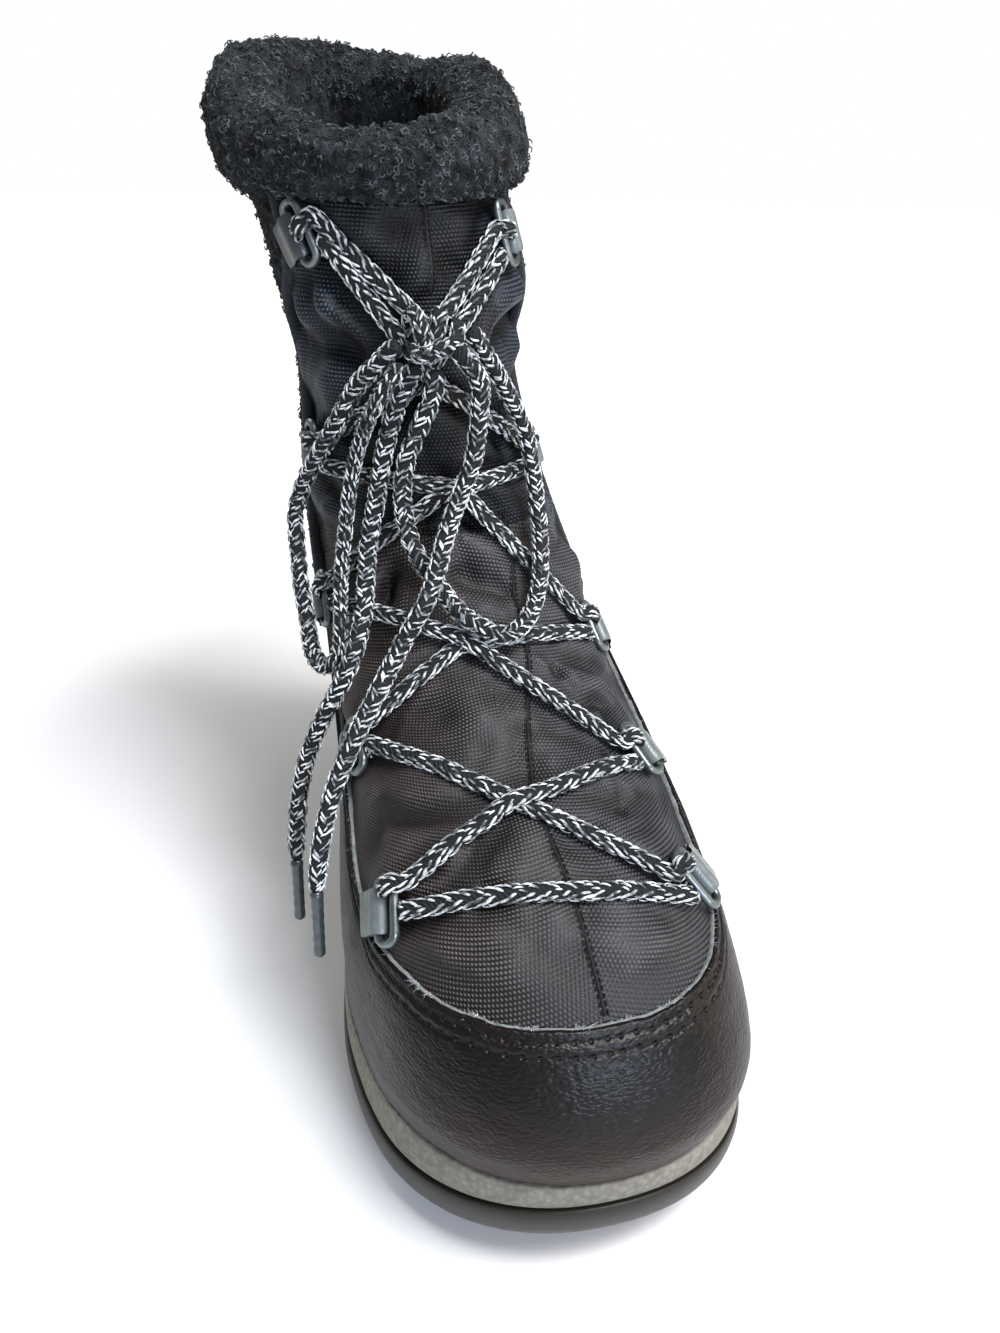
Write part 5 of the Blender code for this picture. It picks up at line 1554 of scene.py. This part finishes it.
LACE_PAIR = 3.7         # each lace's way along a bar from its middle
LACE_START = 2.9        # where a lace's free run starts, in front of the bar
LACE_SLIDE = (3.0, 0.0, 0.0, 0.0, -2.5)     # how far each ring's laces sit along the bar
LACE_POINTS = 10
LACE_HIGH = 2.6         # a tight lace's height over the last of the boot
LACE_SINK = 1.3         # least height of a tight lace's middle over the cloth
LIFT_MOST = 3.0
CLOTH_NEAR = 5.0        # the cloth is looked for this far from a lace
RING_FADE = 5.0         # length beside a ring over which the lift fades out
CROSS_OVER, CROSS_UNDER = 2.3, -0.4     # where two laces cross, height above LACE_HIGH
LACE_SETTLE = 0.4       # how much lower than LACE_HIGH a crossing lace may lie
TIGHT_SIZE = (4.9, 3.0)     # width and thickness of a lace that is pulled tight
STRAND_STEPS = 6
TAUT_SWEEPS = 24
CROSSINGS = ((101.0, -3.0), (127.0, -2.0), (169.0, 4.0), (201.0, 0.0))
KNOT_SEAT = (-15.0, 5.5, 214.0)

# Dark braid: the ground of the lace. Fine slanted ribs and loose fibre give it the matt,
# slightly dusty look of spun polyester.
braid, braid_tree, braid_shader = new_finish("dark lace braid", {
    "Roughness": 0.8, "Specular IOR Level": 0.3})
braid_map = add(braid_tree, "ShaderNodeUVMap")
braid_rib = add(braid_tree, "ShaderNodeTexWave", {"bands_direction": "DIAGONAL"}, {
    "Vector": braid_map.outputs[0], "Scale": 0.42, "Distortion": 2.5, "Detail": 2.0})
braid_fibre = add(braid_tree, "ShaderNodeTexNoise", inputs={
    "Vector": braid_map.outputs[0], "Scale": 2.2, "Detail": 4.0})
braid_high = add(braid_tree, "ShaderNodeMath", {"operation": "MULTIPLY_ADD"}, {
    0: braid_fibre.outputs[0], 1: 0.6, 2: braid_rib.outputs[1]})
braid_tint = add(braid_tree, "ShaderNodeMix", {"data_type": "RGBA"}, {
    0: braid_fibre.outputs[0], 6: linear("#090a0b"), 7: linear("#24282b")})
braid_bump = add(braid_tree, "ShaderNodeBump", inputs={
    "Height": braid_high.outputs[0], "Strength": 0.8, "Distance": 0.0004})
drive(braid_tree, braid_shader, {"Base Color": braid_tint.outputs[2],
                                 "Normal": braid_bump.outputs[0]})

# White yarn: brighter than anything near it, with the parting between its two threads.
yarn = clouded_finish("white lace yarn", {"Roughness": 0.6, "Sheen Weight": 0.2},
                      {"Scale": 330.0, "Detail": 4.0}, "#3c4144", "#dfe3e5",
                      relief=(0.4, 0.0002), over=(0.4, 0.6))

# Columns of white strokes round a lace: place round the section in degrees, which way
# they lean in degrees, where the first one lies, their spacing, length and half width.
LOOSE_STROKES = tuple(
    (turn_at + flip, lean, first + late, 5.4, long, half)
    for flip in (0.0, 180.0) for turn_at, lean, first, long, half in (
        (8.0,   12.0, 1.0, 3.0, 0.31), (54.0,  33.0, 0.0, 3.3, 0.37),
        (86.0, -33.0, 3.9, 2.3, 0.27), (120.0, -33.0, 2.7, 3.3, 0.37),
        (154.0, 20.0, 4.4, 3.0, 0.32))
    for late in (0.0, 1.9))
TIGHT_STROKES = (
    (14.0,    8.0, 0.0, 4.6, 4.0, 0.39), (36.0,  14.0, 2.3, 4.6, 3.8, 0.42),
    (62.0,   16.0, 0.4, 4.6, 3.3, 0.40), (90.0, -10.0, 3.4, 9.2, 2.6, 0.32),
    (118.0, -16.0, 2.0, 4.6, 3.3, 0.40), (144.0, -14.0, 3.9, 4.6, 3.8, 0.42),
    (166.0,  -8.0, 1.6, 4.6, 4.0, 0.39),
    (205.0,  10.0, 0.0, 4.6, 4.4, 0.34), (270.0,  14.0, 2.4, 4.6, 3.4, 0.34),
    (340.0, -10.0, 3.1, 4.6, 4.4, 0.34),
)


LACE_SIDES = 12
LACE_STEP = 0.85
CARRIERS = 2.6          # how far apart the braid's strands cross
STROKE_STRAY, LEAN_STRAY = 0.45, 0.12   # how unevenly the strokes are spaced and lean
TIP_TAPER = 5.0
YARN_SECTION = np.array([(1.0, 0.0), (0.5, 0.62), (-0.5, 0.62), (-1.0, 0.0), (0.0, -0.5)])


def white_yarns(where, frame_on, narrow, strokes, wide, thick):
    """White strokes on one lace: the middle lines of the yarns, the outward direction at
    each point of them and their half widths."""
    share = np.linspace(-1, 1, 6)
    made = []
    for turn_at, lean, first, step, long, half in strokes:
        centres = np.arange(first, where[-1], step)
        centres = centres + chance.normal(0, STROKE_STRAY, len(centres))
        centres = centres[(centres > long / 2) & (centres < where[-1] - long / 2), None]
        if not len(centres):
            continue
        tilt = math.radians(lean) + chance.normal(0, LEAN_STRAY, centres.shape)
        size = long / 2 * chance.uniform(0.85, 1.12, centres.shape)
        v = centres + share * size * np.cos(tilt)
        bow = np.sin(share * 1.5) / np.sin(1.5)
        phi = (math.radians(turn_at) + bow * size * np.sin(tilt) / 2.1)[..., None]
        spot, across, rise = (read_along(v, where, part) for part in frame_on)
        normal = unit(np.cos(phi) / wide * across + np.sin(phi) / thick * rise)
        lift = 0.4 - 0.6 * np.abs(share) ** 3
        held_in = np.interp(v, where, narrow)[..., None]
        line = (spot + held_in * (wide / 2 - 0.3) * np.cos(phi) * across
                + held_in * (thick / 2 - 0.25) * np.sin(phi) * rise
                + lift[:, None] * normal)
        girth = half * (1.02 - np.abs(share) ** 2.4) * chance.uniform(
            0.8, 1.15, centres.shape)
        made.append((line, normal, girth))
    return made


def braided(name, routes, strokes, wide, thick, drawn_in=0.0):
    """Laces along routes, each a line of points and the outward direction at each. Gives
    the dark braid and the white yarns on it as two pieces. drawn_in is how much the end
    narrows, for a lace that ends in a tip."""
    ground, shell_faces, flat, made = [], [], [], []
    start = 0
    round_it = np.linspace(0, 2 * np.pi, LACE_SIDES + 1)
    turn_on = round_it[:-1]
    for line, out in routes:
        along = arc(line)
        where = np.linspace(0, along[-1], int(along[-1] / LACE_STEP) + 2)
        middle = read_along(where, along, line)
        rise = unit(read_along(where, along, out))
        ahead = unit(np.gradient(middle, axis=0))
        across = unit(np.cross(ahead, rise))
        rise = np.cross(across, ahead)
        beat = np.pi * where[:, None] / CARRIERS
        knuckle = (1 + 0.055 * np.sin(2 * beat + 2 * turn_on)
                   + 0.03 * np.sin(beat - 3 * turn_on))
        narrow = 1 - drawn_in * np.clip((where - where[-1]) / TIP_TAPER + 1, 0, 1)
        knuckle *= narrow[:, None]
        knuckle[[0, -1]] *= 0.25
        spread = knuckle * (wide / 2 - 0.25) * np.cos(turn_on)
        deep = knuckle * (thick / 2 - 0.2) * np.sin(turn_on)
        ground.append((middle[:, None] + spread[..., None] * across[:, None]
                       + deep[..., None] * rise[:, None]).reshape(-1, 3))
        shell_faces.append(grid(len(where), LACE_SIDES, True)[:, ::-1] + start)
        net = np.stack(np.broadcast_arrays(round_it * wide / CARRIERS, where[:, None]),
                       axis=-1).reshape(-1, 2)
        flat.append(net[grid(len(where), LACE_SIDES + 1)[:, ::-1]])
        start += len(where) * LACE_SIDES
        made += white_yarns(where, (middle, across, rise), narrow, strokes, wide, thick)
    core = new_piece(name, np.concatenate(ground), np.concatenate(shell_faces), braid,
                     np.concatenate(flat))
    lines, normals, girths = (np.concatenate(part) for part in zip(*made))
    points, faces = tubes(lines, normals, girths[..., None, None] * YARN_SECTION)
    white = new_piece(name + "_yarn", points, faces, yarn)
    return core, white


levels = np.linspace(60.0, 262.0, 70)
across_front = np.linspace(-100.0, 100.0, 67)
last_points = skin(levels[:, None], across_front, 0.0)
last_tree = BVHTree.FromPolygons([Vector(p) for p in last_points.reshape(-1, 3)],
                                 grid(len(levels), len(across_front)).tolist())
cloth_tree = BVHTree.FromPolygons([Vector(p) for p in nylon_points.reshape(-1, 3)],
                                  grid(*angles.shape).tolist())


def taut_path(stops, high):
    """A lace pulled tight between its stops: straight, but never nearer the boot than
    high. Returns its points and the boot's outward direction at each."""
    stops = np.asarray(stops, dtype=float)
    along = arc(stops)
    where = np.linspace(0, along[-1], LACE_POINTS)
    path = read_along(where, along, stops)
    pinned = {int(np.argmin(abs(where - stop))) for stop in along}
    outward = np.zeros_like(path)
    for _ in range(TAUT_SWEEPS):
        relaxed = path.copy()
        relaxed[1:-1] = 0.5 * path[1:-1] + 0.25 * (path[:-2] + path[2:])
        for k in range(LACE_POINTS):
            if k not in pinned:
                path[k] = relaxed[k]
            near, outward[k] = map(np.array, last_tree.find_nearest(Vector(path[k]))[:2])
            if (path[k] - near) @ outward[k] < high:
                path[k] = near + high * outward[k]
    return path, outward


def lace_stop(number, side, up):
    """Where a lace leaves the lace bar of a ring, just in front of it."""
    return Seat(number, side).at(up + LACE_SLIDE[number - 1],
                                 RING_DEEP + WIRE + LACE_START, WIRE_HIGH - WIRE / 2)


# The half turn at a ring, from the stop inward: how far the lace closes in along the bar,
# how far forward and out it is, and its own upward direction as forward and out.
OVER_BAR = ((0.0, 8.3, 4.6, 0.3, 1.0), (0.5, 6.5, 6.2, 0.0, 1.0),
            (1.1, 4.0, 5.4, -0.6, 0.8), (1.8, 2.9, 3.3, -1.0, 0.0))
UNDER_BAR = ((0.0, 8.6, 1.9, 0.1, 1.0), (0.5, 6.5, 1.2, 0.0, 1.0),
             (1.1, 4.4, 1.3, -0.5, 0.8), (1.8, 3.1, 2.7, -1.0, 0.2))


def round_bar(number, side, up):
    """Points of a lace's half turn at a ring, with its upward direction at each. It goes
    over the bar on the upper side of its ring, and comes out from under it on the lower."""
    seat = Seat(number, side)
    table = OVER_BAR if up > 0 else UNDER_BAR
    points = [seat.at(math.copysign(abs(up) - close, up) + LACE_SLIDE[number - 1], f, o)
              for close, f, o, _, _ in table]
    ups = [lean * seat.forward + rise * seat.out for _, _, _, lean, rise in table]
    return points, ups


def on_cloth(points, outward):
    """The same line, lifted in long waves where it would sink into the puffed nylon."""
    lift = np.zeros(len(points))
    for k, point in enumerate(points):
        near, normal, _, distance = cloth_tree.find_nearest(Vector(point))
        if distance < CLOTH_NEAR:
            lift[k] = np.clip(LACE_SINK - (Vector(point) - near).dot(normal),
                              0, LIFT_MOST)
    lift = np.array([lift[max(0, k - 2):k + 3].max() for k in range(len(lift))])
    for _ in range(4):
        lift = evened(lift)
    along = arc(points)
    ring_part = len(OVER_BAR) * STRAND_STEPS
    from_ring = np.minimum(along - along[ring_part], along[-1 - ring_part] - along)
    return points + (lift * np.clip(from_ring / RING_FADE, 0, 1))[:, None] * outward


def whole_strand(first, middle, last, high):
    """A tight lace from ring to ring. first and last are (number, side, up)."""
    path, outward = taut_path([lace_stop(*first), *middle, lace_stop(*last)], high)
    start, start_up = round_bar(*first)
    end, end_up = round_bar(*last)
    points = [*start[::-1], *path, *end]
    ups = [*start_up[::-1], *outward, *end_up]
    ups = unit(catmull_rom(ups, STRAND_STEPS))
    return on_cloth(catmull_rom(points, STRAND_STEPS), ups), ups


route = whole_strand((1, -1, -LACE_PAIR), [], (1, 1, -LACE_PAIR), LACE_HIGH)
tight = [("bar", [route])]
for number, (level, angle) in enumerate(CROSSINGS, start=1):
    routes = []
    for k, side in enumerate((1, -1)):
        above = CROSS_OVER if k == number % 2 else CROSS_UNDER
        middle = skin(level, angle, LACE_HIGH + above)
        routes.append(whole_strand((number, side, LACE_PAIR), [middle],
                                   (number + 1, -side, -LACE_PAIR),
                                   LACE_HIGH - LACE_SETTLE))
    if number == len(CROSSINGS):
        routes.append(whole_strand((number + 1, -1, LACE_PAIR), [KNOT_SEAT],
                                   (number + 1, 1, LACE_PAIR), LACE_HIGH))
    tight.append((f"cross_{number}", routes))
for name, routes in tight:
    core, white = braided("laced_" + name, routes, TIGHT_STROKES, *TIGHT_SIZE)
    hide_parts("lace_" + name)


# ---- Bow ----------------------------------------------------------------------------
# The lace tied in a bow: a knot of three wraps, two long loops that hang in front of the
# throat and two ends that hang past the rand, each closed in a thin dark tip.

BOW = {
    "bow_loop_lateral": (
        (-5.4, -4.0, 216.4), (0.5, -0.5, 208.0), (8.0, 5.0, 196.5), (14.5, 8.0, 184.5),
        (17.0, 7.0, 173.5), (17.5, 1.0, 162.5), (17.0, -6.5, 152.0), (14.5, -16.0, 142.5),
        (9.0, -25.0, 135.5), (1.5, -30.5, 132.5), (-6.0, -29.5, 134.5),
        (-13.0, -25.0, 139.0), (-18.5, -18.5, 145.5), (-22.5, -13.5, 151.0),
        (-25.5, -9.5, 159.0), (-26.5, -7.0, 169.0), (-25.0, -6.0, 179.5),
        (-20.5, -6.0, 190.0), (-16.5, -6.0, 199.0), (-15.2, -5.0, 205.8)),
    "bow_loop_medial": (
        (-25.6, -4.2, 213.0), (-31.5, 0.0, 206.5), (-37.0, 4.5, 200.0),
        (-41.0, 6.5, 193.0), (-45.5, 9.5, 185.0), (-50.0, 14.0, 176.5),
        (-54.5, 19.0, 167.0), (-57.8, 19.8, 157.0), (-58.3, 14.5, 147.0),
        (-58.3, 7.5, 137.0), (-57.5, 1.0, 128.0), (-57.0, -7.5, 121.0),
        (-54.0, -15.0, 119.0), (-50.0, -19.0, 124.0), (-48.0, -16.0, 132.0),
        (-47.0, -9.0, 140.0), (-45.5, -3.0, 148.0), (-43.5, 0.5, 158.0),
        (-41.5, 2.0, 169.0), (-39.0, 1.0, 180.0), (-35.5, -3.5, 191.5),
        (-31.0, -8.0, 201.0), (-25.2, -7.4, 208.0)),
    "lace_end_lateral": (
        (-10.0, -8.8, 212.2), (-4.0, -10.0, 203.5), (-3.5, -9.5, 196.0),
        (-4.5, -10.5, 188.0), (-6.0, -11.5, 180.5), (-9.0, -12.5, 173.5),
        (-12.5, -15.0, 166.5), (-16.0, -18.5, 159.0), (-19.5, -23.5, 151.0),
        (-24.0, -28.5, 143.5), (-29.5, -31.0, 136.0), (-35.0, -35.0, 128.4),
        (-41.5, -41.0, 120.5), (-48.0, -47.0, 112.1), (-54.0, -52.0, 102.0),
        (-58.5, -57.5, 91.8), (-61.5, -63.5, 82.5), (-62.8, -67.5, 75.0)),
    "lace_end_medial": (
        (-20.2, -1.2, 206.4), (-23.5, -1.5, 201.0), (-26.5, -2.0, 195.5),
        (-29.0, -1.5, 188.0), (-31.5, -1.0, 178.0), (-34.0, -2.0, 166.5),
        (-37.0, -5.0, 155.0), (-39.0, -10.0, 145.0), (-41.0, -17.0, 136.5),
        (-45.0, -24.0, 127.5), (-50.5, -27.5, 118.0), (-56.5, -28.5, 107.5),
        (-61.5, -30.0, 96.5), (-65.0, -33.5, 86.0), (-67.0, -38.5, 76.0),
        (-68.0, -43.0, 67.0)),
}
AGLETS = {
    "aglet_lateral": ((-62.9, -67.8, 74.2), (-63.8, -71.5, 54.5)),
    "aglet_medial": ((-68.1, -43.4, 66.2), (-69.0, -46.5, 46.5)),
}
KNOT_MIDDLE = np.array((-15.5, -2.0, 214.5))
FREE_SIZE, KNOT_SIZE = (5.4, 4.2), (4.6, 2.8)   # width and thickness of the lace
END_NARROWS = 0.32      # how much an end narrows into its tip
TIP_SIDES = 14

# Lace tip: a shrunk plastic film over the braid, dark and glossy, with the weave pressing
# through it in soft ripples.
tip = clouded_finish("lace tip film", {
    "Roughness": 0.3, "Coat Weight": 0.4, "Coat Roughness": 0.2},
    {"Scale": 420.0, "Detail": 3.0}, "#14181a", "#454d51", relief=(0.6, 0.0003))


def facing_out(line, start):
    """An upward direction that is carried along a line without twisting."""
    out = []
    carried = np.asarray(start, float)
    for way in unit(np.gradient(line, axis=0)):
        carried = unit(carried - way * (carried @ way))
        out.append(carried)
    return np.array(out)


for name, (top, bottom) in AGLETS.items():
    top, bottom = np.array(top), np.array(bottom)
    line = spaced(np.array([top + 0.07 * (top - bottom), bottom]), 0.7)
    share = np.linspace(0, 1, len(line))
    girth = 1.75 + 0.35 * np.exp(-share * 7) + 0.06 * np.sin(share * 37)
    girth[[0, -1]] *= 0.55
    girth[1] *= 0.93
    round_tip = girth[:, None, None] * ring_of(TIP_SIDES, 1.0, 0.92)
    points, faces = tubes(line[None], np.array((0.0, -1.0, 0.2)), round_tip[None])
    made = new_piece("tip_" + name.split("_")[1], points, faces, tip)
    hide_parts(name)

UP_AT_START = {"bow_loop_lateral": (0.3, -1.0, 0.3), "bow_loop_medial": (-0.2, -1.0, 0.3),
               "lace_end_lateral": (0.1, -1.0, 0.1), "lace_end_medial": (-0.3, -1.0, 0.1)}
for name, route in BOW.items():
    smooth = catmull_rom(route, 8)
    line = spaced(smooth, 1.0)
    is_end = "end" in name
    core, white = braided("free_" + name, [(line, facing_out(line, UP_AT_START[name]))],
                          LOOSE_STROKES, *FREE_SIZE, END_NARROWS if is_end else 0.0)
    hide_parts(name)

# The knot's wraps, as ovals about a cross line: middle, half sizes, how far each is turned
# about the upright and about the line of sight.
KNOT_WRAPS = (
    ((-4.6, 0.2, 0.4), (4.0, 6.2), 8.0, -10.0),
    ((0.6, 0.0, 0.6), (3.6, 5.6), -12.0, 14.0),
    ((5.0, 0.4, -0.6), (2.9, 4.4), 16.0, 24.0),
)
wraps = []
for middle, (deep, tall), turn_up, turn_sight in KNOT_WRAPS:
    t = np.linspace(-0.2, 2 * np.pi + 0.2, 60)
    oval = np.stack([0.4 * np.sin(t), -deep * np.sin(t), tall * np.cos(t)], axis=-1)
    out = np.stack([0 * t, -np.sin(t) / deep, np.cos(t) / tall], axis=-1)
    turned = (Matrix.Rotation(math.radians(turn_up), 3, "Z")
              @ Matrix.Rotation(math.radians(turn_sight), 3, "Y"))
    turned = np.array(turned).T
    wraps.append((oval @ turned + KNOT_MIDDLE + middle, unit(out @ turned)))
over = catmull_rom([(7.6, -2.2, 0.6), (4.8, -4.6, -1.6), (0.4, -5.6, -3.2),
                    (-4.6, -5.0, -4.4), (-8.2, -2.4, -3.0)], 8) + KNOT_MIDDLE
wraps.append((over, facing_out(over, (0, -1, -0.2))))
core, white = braided("tied_knot", wraps, LOOSE_STROKES, *KNOT_SIZE)
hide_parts("knot")


# ---- Close ---------------------------------------------------------------------------

bpy.context.view_layer.update()
